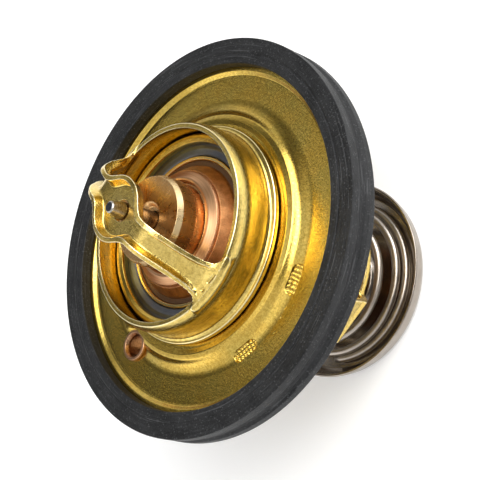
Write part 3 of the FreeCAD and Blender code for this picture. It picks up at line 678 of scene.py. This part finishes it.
def plate_shift(x, y):
    """Change of height over the turned form: the flat round the eyelet and the two pressed marks."""
    r = np.hypot(x, y)
    d = np.hypot(x - EX, y - EY)
    rise = np.interp(r, FRONT_R, FRONT_Z) - EYE_FLAT
    out = -np.maximum(rise, 0.0) * (1.0 - smooth((d - 2.75) / 1.0))
    for lr, la in LOZENGES:
        a = math.radians(la)
        cx, cy = lr * math.cos(a), lr * math.sin(a)
        u = -(x - cx) * math.sin(a) + (y - cy) * math.cos(a)
        v = (x - cx) * math.cos(a) + (y - cy) * math.sin(a)
        dist = np.hypot(np.maximum(np.abs(u) - 1.65, 0.0), v) - 0.95
        well = smooth(-dist / 0.22)
        bead = np.cos(math.pi * (u / 0.70 + v / 0.56 + 0.15 * np.sin(2.3 * u))) * np.cos(math.pi * (u / 0.66 - v / 0.58))
        out = out - well * (0.30 - 0.24 * bead * smooth((-dist - 0.10) / 0.2))
    for pa, pr in ((3.5, 23.6), (8.0, 23.4), (10.5, 24.6), (-2.5, 24.3)):
        a = math.radians(pa)
        q = np.hypot(x - pr * math.cos(a), y - pr * math.sin(a))
        out = out - 0.10 * (1.0 - smooth(q / 0.22))
    return out


def make_plate():
    global FRONT_R, FRONT_Z
    P, N = fillet(PLATE, True, 6.0)
    # split the section: the part seen from the front between r 19.5 and 27.7, and the same part behind
    def seek(z_low, z_high, r_low, r_high, up):
        keep = (P[:, 0] > r_low) & (P[:, 0] < r_high) & (P[:, 1] > z_low) & (P[:, 1] < z_high) & ((N[:, 1] > 0.1) == up)
        return np.where(keep)[0]
    front = seek(0.40, 2.1, 19.85, 27.9, True)
    rear = seek(-0.45, 1.3, 18.6, 28.0, False)
    fr, fz, fnr, fnz = P[front, 0], P[front, 1], N[front, 0], N[front, 1]
    o = np.argsort(fr)
    fr, fz, fnr, fnz = fr[o], fz[o], fnr[o], fnz[o]
    rr, rz, rnr, rnz = P[rear, 0], P[rear, 1], N[rear, 0], N[rear, 1]
    o = np.argsort(rr)
    rr, rz, rnr, rnz = rr[o], rz[o], rnr[o], rnz[o]
    FRONT_R, FRONT_Z = fr, fz
    inner, outer = fr[0], fr[-1]
    st = [inner, 20.1, 20.3]
    blk0, blk1 = 20.45, 25.15
    st += list(np.arange(20.45, 21.35, 0.15)) + list(np.arange(21.35, 23.95, 0.13)) + list(np.linspace(24.0, 25.15, 7))
    st += list(np.linspace(25.4, outer, 8))
    st = np.array(sorted(set(round(float(s), 5) for s in st)))
    st = st[(st >= inner - 1e-6) & (st <= outer + 1e-6)]
    i0 = int(np.argmin(np.abs(st - blk0)))
    i1 = int(np.argmin(np.abs(st - blk1)))
    # angles: one degree, denser over the pressed marks, and 12 steps across the eyelet
    half = math.degrees(2.45 / 22.8)
    eye_a = -88.5
    marks = []
    for _, la in LOZENGES:
        marks.append((la - 8.4, la + 8.4))
    ang = list(np.linspace(eye_a - half, eye_a + half, 13))
    a = eye_a + half + 1.0
    while a < eye_a + 360 - half - 0.6:
        ang.append(a)
        b = (a + 180) % 360 - 180
        a += 0.34 if any(lo <= b <= hi for lo, hi in marks) else 1.0
    ang = np.radians(np.array(ang))
    n = len(ang)
    ca, sa = np.cos(ang), np.sin(ang)
    # the closed loop of stations: front inwards, then the neck, then the rear outwards
    seq = []   # (r, z, nr, nz, shifted)
    for s in st[::-1]:
        seq.append((s, np.interp(s, fr, fz), np.interp(s, fr, fnr), np.interp(s, fr, fnz), True))
    f_last = int(front[np.argmin(P[front, 0])])
    r_first = int(rear[np.argmin(P[rear, 0])])
    k = (f_last + 1) % len(P)
    while k != r_first:
        seq.append((P[k, 0], P[k, 1], N[k, 0], N[k, 1], False))
        k = (k + 1) % len(P)
    rear_at = len(seq)
    st2 = st[(st > rr[0] + 0.05) & (st < rr[-1] - 0.05)]
    j0 = int(np.argmin(np.abs(st2 - blk0)))
    j1 = int(np.argmin(np.abs(st2 - blk1)))
    seq.append((rr[0], rz[0], rnr[0], rnz[0], False))
    for s in st2:
        seq.append((s, np.interp(s, rr, rz), np.interp(s, rr, rnr), np.interp(s, rr, rnz), True))
    k = (int(rear[np.argmax(P[rear, 0])])) % len(P)
    f_first = int(front[np.argmax(P[front, 0])])
    while k != f_first:
        seq.append((P[k, 0], P[k, 1], N[k, 0], N[k, 1], False))
        k = (k + 1) % len(P)
    m = len(seq)
    verts, norms = [], []
    e = 0.01
    for r, z, nr, nz, shifted in seq:
        x, y = r * ca, r * sa
        zz = np.full(n, z)
        nx, ny, nn = nr * ca, nr * sa, np.full(n, nz)
        if shifted:
            zz = zz + plate_shift(x, y)
            gx = (plate_shift(x + e, y) - plate_shift(x - e, y)) / (2 * e)
            gy = (plate_shift(x, y + e) - plate_shift(x, y - e)) / (2 * e)
            nx, ny = nx - nn * gx, ny - nn * gy
        verts.append(np.stack([x, y, zz], 1))
        norms.append(np.stack([nx, ny, nn], 1))
    verts, norms = np.concatenate(verts), np.concatenate(norms)
    idx = np.arange(m * n).reshape(m, n)
    keep = np.ones((m, n), bool)
    front_rows = (len(st) - 1 - i1, len(st) - 1 - i0)      # front is stored from the rim inwards
    rear_rows = (rear_at + 1 + j0, rear_at + 1 + j1)
    keep[front_rows[0]:front_rows[1], 0:12] = False
    keep[rear_rows[0]:rear_rows[1], 0:12] = False
    a, b = idx, np.roll(idx, -1, 0)
    quads = np.stack([a, b, np.roll(b, -1, 1), np.roll(a, -1, 1)], 2)[keep]

    def loop(rows):
        lo, hi = rows
        out = [(lo, j) for j in range(0, 12)] + [(i, 12) for i in range(lo, hi)]
        out += [(hi, j) for j in range(12, 0, -1)] + [(i, 0) for i in range(hi, lo, -1)]
        return np.array([idx[i, j] for i, j in out])
    extra_v, extra_n, extra_q = [], [], []
    at = len(verts)
    ends = []
    for rows, fr_, fz_, fnr_, fnz_, flipped in ((front_rows, fr, fz, fnr, fnz, False), (rear_rows, rr, rz, rnr, rnz, True)):
        edge = loop(rows)
        base = verts[edge][:, :2]
        d = base - np.array([EX, EY])
        hole = np.array([EX, EY]) + d / np.linalg.norm(d, axis=1, keepdims=True) * 2.1
        prev = edge
        for t in (0.34, 0.67, 1.0):
            q = base * (1 - t) + hole * t
            r = np.hypot(q[:, 0], q[:, 1])
            z = np.interp(r, fr_, fz_) + plate_shift(q[:, 0], q[:, 1])
            nr_, nz_ = np.interp(r, fr_, fnr_), np.interp(r, fr_, fnz_)
            gx = (plate_shift(q[:, 0] + e, q[:, 1]) - plate_shift(q[:, 0] - e, q[:, 1])) / (2 * e)
            gy = (plate_shift(q[:, 0], q[:, 1] + e) - plate_shift(q[:, 0], q[:, 1] - e)) / (2 * e)
            nx, ny = nr_ * q[:, 0] / r - nz_ * gx, nr_ * q[:, 1] / r - nz_ * gy
            cur = at + np.arange(len(edge))
            extra_v.append(np.stack([q[:, 0], q[:, 1], z], 1))
            extra_n.append(np.stack([nx, ny, nz_], 1))
            quad = np.stack([prev, cur, np.roll(cur, -1), np.roll(prev, -1)], 1)
            extra_q.append(quad)
            at += len(edge)
            prev = cur
        ends.append(prev)
    # wall of the hole, matched by angle
    va = np.concatenate([verts] + extra_v)
    na = np.concatenate([norms] + extra_n)
    allq = np.concatenate([quads] + extra_q)
    p = va[allq]
    fn_ = np.cross(p[:, 2] - p[:, 0], p[:, 3] - p[:, 1])
    bad = np.einsum("ij,ij->i", fn_, na[allq[:, 0]] + na[allq[:, 2]]) < 0
    allq[bad] = allq[bad][:, ::-1]
    f, g = ends
    def by_angle(ids):
        q = va[ids][:, :2] - np.array([EX, EY])
        return ids[np.argsort(np.arctan2(q[:, 1], q[:, 0]))]
    f, g = by_angle(f), by_angle(g)
    if len(f) == len(g):
        wall = np.stack([f, np.roll(f, -1), np.roll(g, -1), g], 1)
        p = va[wall]
        fn_ = np.cross(p[:, 2] - p[:, 0], p[:, 3] - p[:, 1])
        out = np.array([EX, EY, 0]) - p.mean(1)
        bad = np.einsum("ij,ij->i", fn_, out) < 0
        wall[bad] = wall[bad][:, ::-1]
        blocks = [allq, wall]
    else:
        print("eyelet wall skipped", len(f), len(g))
        blocks = [allq]
    return build_mesh("brass_plate", va, blocks, na, BRASS)


plate = make_plate()
done(plate, "flange_plate", "flange_group")

eyelet = lathe("eyelet", [
    (1.75, -2.8, 0.1), (1.75, 0.35, 0.8), (2.14, 1.0, 0.13), (2.68, 1.0, 0.22), (2.68, 0.45, 0.1), (2.1, 0.45, 0.03),
    (2.1, -0.4, 0.03), (2.5, -0.4, 0.05), (2.5, -0.9, 0.05), (2.1, -1.05, 0.05), (2.1, -2.8, 0.1)], EYELET, seg=96, centre=(EX, EY))
done(eyelet, "bleed_eyelet", "flange_group")

# ================================================================ the bridge

def rounded_table(points, reach, far):
    """Straight lines through (x, y) points with their corners rounded over +-reach, even about x = 0."""
    px = np.array([p[0] for p in points], float)
    py = np.array([p[1] for p in points], float)
    x = np.linspace(0, px[-1], 1200)
    total = np.zeros_like(x)
    for k in np.linspace(-1, 1, 21):
        total += np.interp(np.abs(x + k * reach), px, py) * (1.05 - abs(k))
    y = total / sum(1.05 - abs(k) for k in np.linspace(-1, 1, 21))
    slope = (y[-20] - y[-40]) / (x[-20] - x[-40])
    return np.append(x[:-20], far), np.append(y[:-20], y[-20] + slope * (far - x[-20]))


FLOOR = rounded_table([(0, 18.7), (5.7, 18.7), (7.2, 18.3), (8.6, 17.2), (10, 15.65), (12, 13.5), (14, 11.6), (15.2, 10.75),
                       (16.2, 10.2), (16.9, 9.8), (17.6, 9.2)], 1.1, 30.0)
LIPUP = rounded_table([(0, 1.6), (6, 1.6), (8, 1.45), (12, 1.4), (13.4, 1.25), (14.6, 0.9), (15.6, 0.4), (16.4, 0.1), (17.6, 0)], 0.5, 30.0)
ARM = rounded_table([(0, 2.5), (12.6, 2.5), (14.2, 2.65), (15.2, 3.0), (15.9, 3.7), (16.4, 4.6), (16.9, 6.0), (17.6, 8.0)], 0.3, 30.0)
SHEET = 0.80
TURN = math.radians(73.0)
BEND = 0.85


def bridge_field(x, y, z):
    ax, ay = np.abs(x), np.abs(y)
    r = np.hypot(x, y)
    # the far arm keeps its level a little longer
    bx = ax + (r - ax) * smooth((ax - 11.5) / 3.5)
    bx = bx - np.where(x < 0, 0.8, 0.0) * smooth((ax - 5.0) / 2.5) * (1 - smooth((ax - 11.5) / 5.0))
    lip = np.interp(bx, *LIPUP)
    floor_z = np.interp(bx, *FLOOR)
    slope = (np.interp(bx + 0.05, *FLOOR) - np.interp(np.maximum(bx - 0.05, 0), *FLOOR)) / 0.1
    q = (z - floor_z) / np.sqrt(1 + slope * slope)
    # outline in plan: a round lobe about the pin and the two arms
    w = np.interp(ax, *ARM)
    sw = (np.interp(ax + 0.05, *ARM) - np.interp(np.maximum(ax - 0.05, 0), *ARM)) / 0.1
    plan = smin(r - 5.4, (ay - w) / np.sqrt(1 + sw * sw), 1.9)
    u = plan + 0.98 + 0.37 * lip
    # sheet: level floor, bend, straight wall, cut square
    su, cu = math.sin(TURN), math.cos(TURN)
    flat = np.abs(q + 0.4)
    mid = BEND - 0.4
    bend = np.abs(np.hypot(u, q - mid) - BEND)
    wall = np.abs(-(u - BEND * su) * su + (q - mid + BEND * cu) * cu)
    ang = np.arctan2(u, mid - q)
    skin = np.where(u < 0, flat, np.where((ang < TURN) & (ang > 0), bend, wall))
    strap = skin - SHEET / 2
    cut = u * cu + q * su - (mid * su + (lip - mid * (1 - cu)) / su)
    strap = smax(strap, cut, 0.10)
    strap = smax(strap, r - 17.05, 0.7)
    strap = np.maximum(strap, 9.2 - z)
    # collar: upright wall whose top leans in
    t = np.clip((z - 7.2) / 2.7, 0.0, 1.4)
    outer_r = 17.35 - 0.62 * t * t
    shell = smax(r - outer_r, outer_r - 0.85 - r, 0.05)
    collar = smax(shell, z - 9.95, 0.14)
    body = smin(collar, strap, 0.95)
    # base flange: a rounded bead round the foot of the collar
    br, bz = np.abs(r - 17.3) - (1.0 - 0.28), np.abs(z - 2.83) - (0.48 - 0.28)
    bead = np.hypot(np.maximum(br, 0), np.maximum(bz, 0)) + np.minimum(np.maximum(br, bz), 0) - 0.28
    inner_r = 16.5 + 1.0 * np.maximum(2.95 - z, 0.0)
    bead = smax(bead, inner_r - r, 0.1)
    body = smin(body, bead, 0.9)
    body = np.maximum(body, 2.35 - z)
    # hole for the pin
    body = smax(body, 1.72 - r - 40.0 * (z < 12.0), 0.10)
    # short pressed line and a small dent on the near arm's root
    lx, ly = 0.15, 1.5
    k = np.clip(((x - 16.25) * lx + (y - 0.3) * ly) / (lx * lx + ly * ly), 0, 1)
    mark = np.sqrt((x - 16.25 - k * lx) ** 2 + (y - 0.3 - k * ly) ** 2 + ((z - 10.42) * 1.0) ** 2) - 0.24
    dent = np.sqrt((x - 16.2) ** 2 + (y + 1.3) ** 2 + (z - 10.6) ** 2) - 0.42
    body = smax(body, -mark, 0.10)
    body = smax(body, -dent, 0.10)
    return body


bridge = surface_net("bridge_strap", bridge_field, (-18.6, -18.6, 2.1), (18.6, 18.6, 20.7),
                     0.2, STRAP)
done(bridge, "bridge", "flange_group")

pin = lathe("pin", [(0, 21.2), (0.75, 21.2, 0.05), (0.95, 21.0, 0.08), (1.45, 18.8, 0.6), (1.45, 0.0, 0.2), (0.7, -5.5, 0.1),
                    (0.4, -6.0, 0.1), (0, -6.0)], PIN, seg=64, closed=False)
done(pin, "piston_pin", "flange_group")

# ================================================================ the wax element

guide = lathe("guide", [
    (1.5, 11.2, 0.05), (2.02, 11.2, 0.03), (2.02, 11.92, 0.03), (1.56, 11.96, 0.03), (1.56, 12.3, 0.06), (2.2, 12.5, 0.3), (2.6, 13.14, 0.2), (2.85, 13.3, 0.2), (6.98, 13.3, 0.06), (7.36, 12.32, 0.06),
    (7.36, 9.6, 0.3), (7.05, 9.0, 0.3), (7.16, 7.5, 0.05), (8.7, 6.95, 0.03), (8.7, 6.9, 0.03), (3.2, 6.9, 0.05), (1.5, 6.9, 0.05)],
    TURNED, seg=192)
done(guide, "element_guide", "element_group")

wiper = lathe("wiper", [(1.48, 11.25, 0.03), (1.85, 11.25, 0.03), (2.0, 11.75, 0.1), (1.8, 11.9, 0.1), (1.48, 11.8, 0.05)],
              BOOT, seg=96)
done(wiper, "wiper_ring", "element_group")

cup = lathe("copper_capsule", [
    (7.5, 7.6, 0.03), (7.78, 7.98, 0.12), (8.2, 8.0, 0.5), (9.45, 7.2, 0.3), (9.6, 6.9, 0.1), (9.6, 6.2, 0.1), (9.35, 5.6, 0.3), (9.35, 3.9, 0.3),
    (8.6, 3.1, 0.5), (8.6, -26.6, 0.8), (7.8, -27.4, 0.8), (2.0, -27.4, 0.05), (2.0, -26.0, 0.05), (7.2, -26.0, 0.4),
    (7.7, -25.4, 0.4), (7.7, 5.9, 0.1), (8.85, 5.9, 0.05), (8.85, 6.9, 0.05), (7.5, 7.5, 0.02)], CUP, seg=256)
done(cup, "element_cup", "element_group")

hub = lathe("valve_cone", [
    (9.35, 5.6, 0.05), (9.6, 6.2, 0.05), (9.6, 6.68, 0.02), (9.8, 6.72, 0.12), (10.95, 4.95, 0.25), (11.1, 4.45, 0.12),
    (11.9, 4.42, 0.1), (12.04, 4.72, 0.08), (12.16, 4.86, 0.1), (12.52, 4.84, 0.1), (12.67, 4.68, 0.08), (12.67, 4.2, 0.05),
    (9.35, 4.2, 0.05)], HUB, seg=288)
done(hub, "valve_hub", "element_group")

disc = lathe("valve_plate", [
    (9.35, 4.2, 0.03), (12.72, 4.2, 0.03), (12.76, 4.56, 0.1), (12.95, 4.76, 0.15), (13.9, 4.8, 0.3), (14.5, 4.65, 0.3), (15.0, 4.65, 0.08), (15.0, 4.0, 0.1),
    (14.7, 3.85, 0.1), (9.35, 3.85, 0.05)], DISC, seg=256)
done(disc, "valve_disc", "element_group")


# ================================================================ springs


def helix(radius, height, turns, start_deg, n_per_turn=72, hand=1.0):
    """Points of a winding whose radius and height are tables over the turn count."""
    s = np.linspace(0, turns, int(turns * n_per_turn) + 1)
    a = math.radians(start_deg) + hand * 2 * math.pi * s
    r = np.interp(s, radius[0], radius[1])
    z = np.interp(s, height[0], height[1])
    for _ in range(8):
        z[1:-1] = (z[:-2] + 2 * z[1:-1] + z[2:]) / 4
        r[1:-1] = (r[:-2] + 2 * r[1:-1] + r[2:]) / 4
    return np.stack([r * np.cos(a), r * np.sin(a), z], 1)


W1 = 0.9
main_path = helix(([0, 7.0], [11.9, 11.9]),
                  ([0, 0.75, 6.25, 7.0], [-24.18 + 0.55, -24.18 + 1.25, 3.83 - 1.25, 3.83 - 0.55]), 7.0, 200)
main = tube("main_coil", main_path, W1, WIRE, sides=20, flat_low=-24.18, flat_high=3.83)
done(main, "main_spring", "flange_group")
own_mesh(main)

W2 = 0.75
by_path = helix(([0, 0.28, 1.28, 2.28, 3.4, 4.2], [14.4, 14.2, 13.1, 11.0, 8.7, 7.7]),
                ([0, 0.28, 1.28, 2.28, 3.4, 4.2], [-34.78, -34.7, -33.3, -31.0, -28.75, -28.12]), 4.2, -50)
by = tube("bypass_coil", by_path, W2, WIRE, sides=20, flat_low=-35.48, flat_high=-27.42)
done(by, "bypass_spring", "element_group")
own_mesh(by)

# ================================================================ the rear frame

LEG = [(8.8, -24.8), (14.1, -24.8), (14.95, -24.0), (19.7, -2.6), (21.0, -1.0), (25.35, -1.0)]


def seg_distance(px, pz, a, b):
    ax, az, bx, bz = a[0], a[1], b[0], b[1]
    dx, dz = bx - ax, bz - az
    t = np.clip(((px - ax) * dx + (pz - az) * dz) / (dx * dx + dz * dz), 0, 1)
    return np.hypot(px - ax - t * dx, pz - az - t * dz)


def frame_field(x, y, z):
    ax, ay = np.abs(x), np.abs(y)
    r = np.hypot(x, y)
    d = seg_distance(ax, z, LEG[0], LEG[1])
    for p, q in zip(LEG[1:-1], LEG[2:]):
        d = smin(d, seg_distance(ax, z, p, q), 0.7)
    half = 4.5 - 0.0 * z
    leg = smax(d - 0.6, ay - half, 0.3)
    leg = smax(leg, ax - 25.38, 0.3)
    foot = smax(np.abs(z + 24.8) - 0.6, r - 14.0, 0.35)
    body = smin(leg, foot, 0.5)
    body = smax(body, 8.67 - r, 0.25)
    body = np.maximum(body, z + 0.4)
    return body


rear = surface_net("rear_strap", frame_field, (-25.9, -14.6, -25.9), (25.9, 14.6, 0.2), 0.3, STRAP)
done(rear, "rear_frame", "flange_group")

# ================================================================ the bypass valve

tail = lathe("tail", [(0, -26.0), (2.0, -26.0, 0.03), (2.0, -27.4, 0.03), (3.9, -27.4, 0.05), (3.9, -28.0, 0.1), (2.5, -28.2, 0.1),
                      (2.5, -34.75, 0.05), (2.0, -34.75, 0.03), (2.0, -35.35, 0.03), (2.5, -35.35, 0.05), (2.5, -35.6, 0.1),
                      (2.2, -35.9, 0.1), (0, -35.9)], TURNED, seg=96, closed=False)
done(tail, "tail_pin", "element_group")

dish = lathe("bypass_dish", [
    (2.56, -33.6, 0.05), (7.0, -33.6, 0.8), (8.3, -35.5, 0.6), (15.9, -35.5, 0.5), (16.75, -34.85, 0.6), (17.15, -33.6, 0.8),
    (17.5, -32.7, 0.12), (17.85, -32.7, 0.15), (18.0, -33.0, 0.3), (17.5, -34.9, 0.8), (17.0, -35.85, 0.6), (16.1, -36.3, 0.5), (8.0, -36.3, 0.5),
    (6.6, -34.4, 0.6), (2.56, -34.4, 0.05)], DISH, seg=320)
done(dish, "bypass_disc", "bypass_group")

washer = lathe("washer", [(2.53, -34.4, 0.04), (5.0, -34.4, 0.08), (5.0, -34.75, 0.08), (2.53, -34.75, 0.04)], DISH, seg=128)
done(washer, "thrust_washer", "element_group")


def make_clip():
    """Flat ring open towards +X, with eased edges."""
    gap = 1.8
    outer, inner = 4.6, 2.0
    a_out, a_in = math.asin(gap / outer), math.asin(min(gap / inner, 0.98))
    pts = [(outer * math.cos(t), outer * math.sin(t)) for t in np.linspace(a_out, 2 * math.pi - a_out, 72)]
    pts += [(inner * math.cos(t), inner * math.sin(t)) for t in np.linspace(2 * math.pi - a_in, a_in, 48)]
    import bmesh
    bm = bmesh.new()
    low = [bm.verts.new((x * MM, y * MM, -35.3 * MM)) for x, y in pts]
    face = bm.faces.new(low)
    res = bmesh.ops.extrude_face_region(bm, geom=[face])
    bmesh.ops.translate(bm, verts=[v for v in res["geom"] if isinstance(v, bmesh.types.BMVert)], vec=(0, 0, 0.5 * MM))
    bmesh.ops.recalc_face_normals(bm, faces=bm.faces)
    edges = [e for e in bm.edges if len(e.link_faces) == 2 and e.calc_face_angle(0) > 1.0]
    bmesh.ops.bevel(bm, geom=edges, offset=0.07 * MM, segments=2, affect="EDGES", profile=0.5)
    me = bpy.data.meshes.new("clip")
    bm.to_mesh(me)
    bm.free()
    me.shade_smooth()
    me.materials.append(WIRE)
    ob = bpy.data.objects.new("clip", me)
    bpy.context.scene.collection.objects.link(ob)
    mod = ob.modifiers.new("wn", "WEIGHTED_NORMAL")
    mod.keep_sharp = True
    return ob


clip = make_clip()
done(clip, "retaining_clip", "element_group")

for node, material in (("rubber_boot", BOOT), ("backup_ring", WHITE), ("wax_charge", WAX)):
    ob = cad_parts[node]
    ob.data.materials.clear()
    ob.data.materials.append(material)

# ================================================================ camera

th, ph, az0 = math.radians(47.3888), math.radians(197.8210), math.radians(-36.0)
axis_c = np.array([math.sin(th) * math.cos(ph), math.sin(th) * math.sin(ph), -math.cos(th)])
centre_c = np.array([-7.4047, -1.0242, 212.1002])
e1 = np.cross(axis_c, [0, 1.0, 0]); e1 /= np.linalg.norm(e1)
e2 = np.cross(axis_c, e1); e2 /= np.linalg.norm(e2)
xh = math.cos(az0) * e1 + math.sin(az0) * e2
yh = -math.sin(az0) * e1 + math.cos(az0) * e2
zh = axis_c
if np.dot(np.cross(xh, yh), zh) < 0:
    raise RuntimeError("the camera basis is left handed")
origin_c = centre_c - 3.0 * axis_c
right = Vector((xh[0], yh[0], zh[0]))
up = -Vector((xh[1], yh[1], zh[1]))
back = -Vector((xh[2], yh[2], zh[2]))
cam_at = Vector((-origin_c @ xh, -origin_c @ yh, -origin_c @ zh)) * MM
rot = Matrix((right, up, back)).transposed()
cam_data = bpy.data.cameras.new("camera")
cam_data.sensor_width = 36.0
cam_data.lens = 97.5
cam_data.clip_start, cam_data.clip_end = 0.01, 50.0
cam = bpy.data.objects.new("camera", cam_data)
cam.matrix_world = Matrix.Translation(cam_at) @ rot.to_4x4()
bpy.context.scene.collection.objects.link(cam)
bpy.context.scene.camera = cam

# ================================================================ floor and light

me = bpy.data.meshes.new("floor")
S = 6.0
me.from_pydata([(-S, -S, -36.3 * MM), (S, -S, -36.3 * MM), (S, S, -36.3 * MM), (-S, S, -36.3 * MM)], [], [(0, 1, 2, 3)])
floor = bpy.data.objects.new("floor", me)
bpy.context.scene.collection.objects.link(floor)
fm = bpy.data.materials.new("floor")
fm.use_nodes = True
fb = fm.node_tree.nodes["Principled BSDF"]
fb.inputs["Base Color"].default_value = (0.86, 0.86, 0.86, 1)
fb.inputs["Roughness"].default_value = 0.6
fb.inputs["Specular IOR Level"].default_value = 0.2
fb.inputs["Emission Color"].default_value = (1, 1, 1, 1)
fb.inputs["Emission Strength"].default_value = 0.24
me.materials.append(fm)

target = Vector((0, 0, -0.002))


def softbox(name, direction, distance, width, height, radiance, colour=(1, 1, 1)):
    """Area light, its place given as (right, up, back) seen from the camera."""
    d = (right * direction[0] + up * direction[1] + back * direction[2]).normalized()
    data = bpy.data.lights.new(name, "AREA")
    data.shape = "RECTANGLE"
    data.size, data.size_y = width, height
    data.energy = radiance * math.pi * width * height
    data.color = colour
    ob = bpy.data.objects.new(name, data)
    ob.location = target + d * distance
    z = d
    x = (up.cross(z)) if abs(up.dot(z)) < 0.95 else right.copy()
    x.normalize()
    y = z.cross(x)
    ob.rotation_mode = "QUATERNION"
    ob.rotation_quaternion = Matrix((x, y, z)).transposed().to_quaternion()
    bpy.context.scene.collection.objects.link(ob)
    ob.visible_camera = False
    return ob


softbox("key", (0.00, 0.60, 0.80), 0.60, 0.24, 0.15, 5.0, (1.0, 1.0, 0.985))
softbox("key_high", (0.36, 0.80, 0.46), 0.60, 0.20, 0.15, 4.0, (1.0, 1.0, 0.985))

world = bpy.data.worlds.new("studio")
bpy.context.scene.world = world
world.use_nodes = True
wn, wl = world.node_tree.nodes, world.node_tree.links
bg = wn["Background"]
coord = wn.new("ShaderNodeTexCoord")


def world_link(socket, value):
    if isinstance(value, (int, float)):
        socket.default_value = value
    else:
        wl.new(value, socket)


def world_math(op, a, b):
    n = wn.new("ShaderNodeMath")
    n.operation = op
    world_link(n.inputs[0], a)
    world_link(n.inputs[1], b)
    return n.outputs[0]


def panel(direction, radius_deg, soft_deg, level):
    """A round bright panel at infinity, its direction given as (right, up, back) from the camera's pose."""
    d = (right * direction[0] + up * direction[1] + back * direction[2]).normalized()
    dot = wn.new("ShaderNodeVectorMath")
    dot.operation = "DOT_PRODUCT"
    wl.new(coord.outputs["Generated"], dot.inputs[0])
    dot.inputs[1].default_value = d
    mr = wn.new("ShaderNodeMapRange")
    mr.interpolation_type = "SMOOTHSTEP"
    wl.new(dot.outputs["Value"], mr.inputs[0])
    mr.inputs[1].default_value = math.cos(math.radians(min(radius_deg + soft_deg, 179.9)))
    mr.inputs[2].default_value = math.cos(math.radians(max(radius_deg - soft_deg, 0.1)))
    mr.inputs[3].default_value = 0.0
    mr.inputs[4].default_value = level
    return mr.outputs[0]


LEVEL = 0.10
for direction, radius, soft, level in (
        ((-0.15, 0.33, 0.93), 14, 8, 6.5),
        ((0.16, 0.84, 0.52), 17, 9, 5.0),
        ((-0.45, -0.65, 0.45), 51, 8, 0.76),
        ((-0.64, -0.58, -0.42), 35, 10, 0.80),
        ((-0.95, 0.315, -0.025), 3.6, 1.6, 1.25),
        ((-0.90, 0.46, -0.22), 10, 8, 0.16),
        ((-0.72, 0.26, 0.64), 23, 12, 0.72),
        ((-0.88, 0.28, 0.36), 12, 8, 0.35),
        ((-0.05, 0.82, -0.57), 40, 14, 0.78),
        ((0.93, 0.10, -0.10), 26, 14, 0.12)):
    LEVEL = world_math("ADD", panel(direction, radius, soft, level), LEVEL)
bg.inputs["Color"].default_value = (1.0, 1.0, 0.995, 1)
wl.new(LEVEL, bg.inputs["Strength"])

bpy.context.scene.view_settings.view_transform = "Standard"
bpy.context.scene.view_settings.look = "None"
bpy.context.scene.view_settings.exposure = 0.0
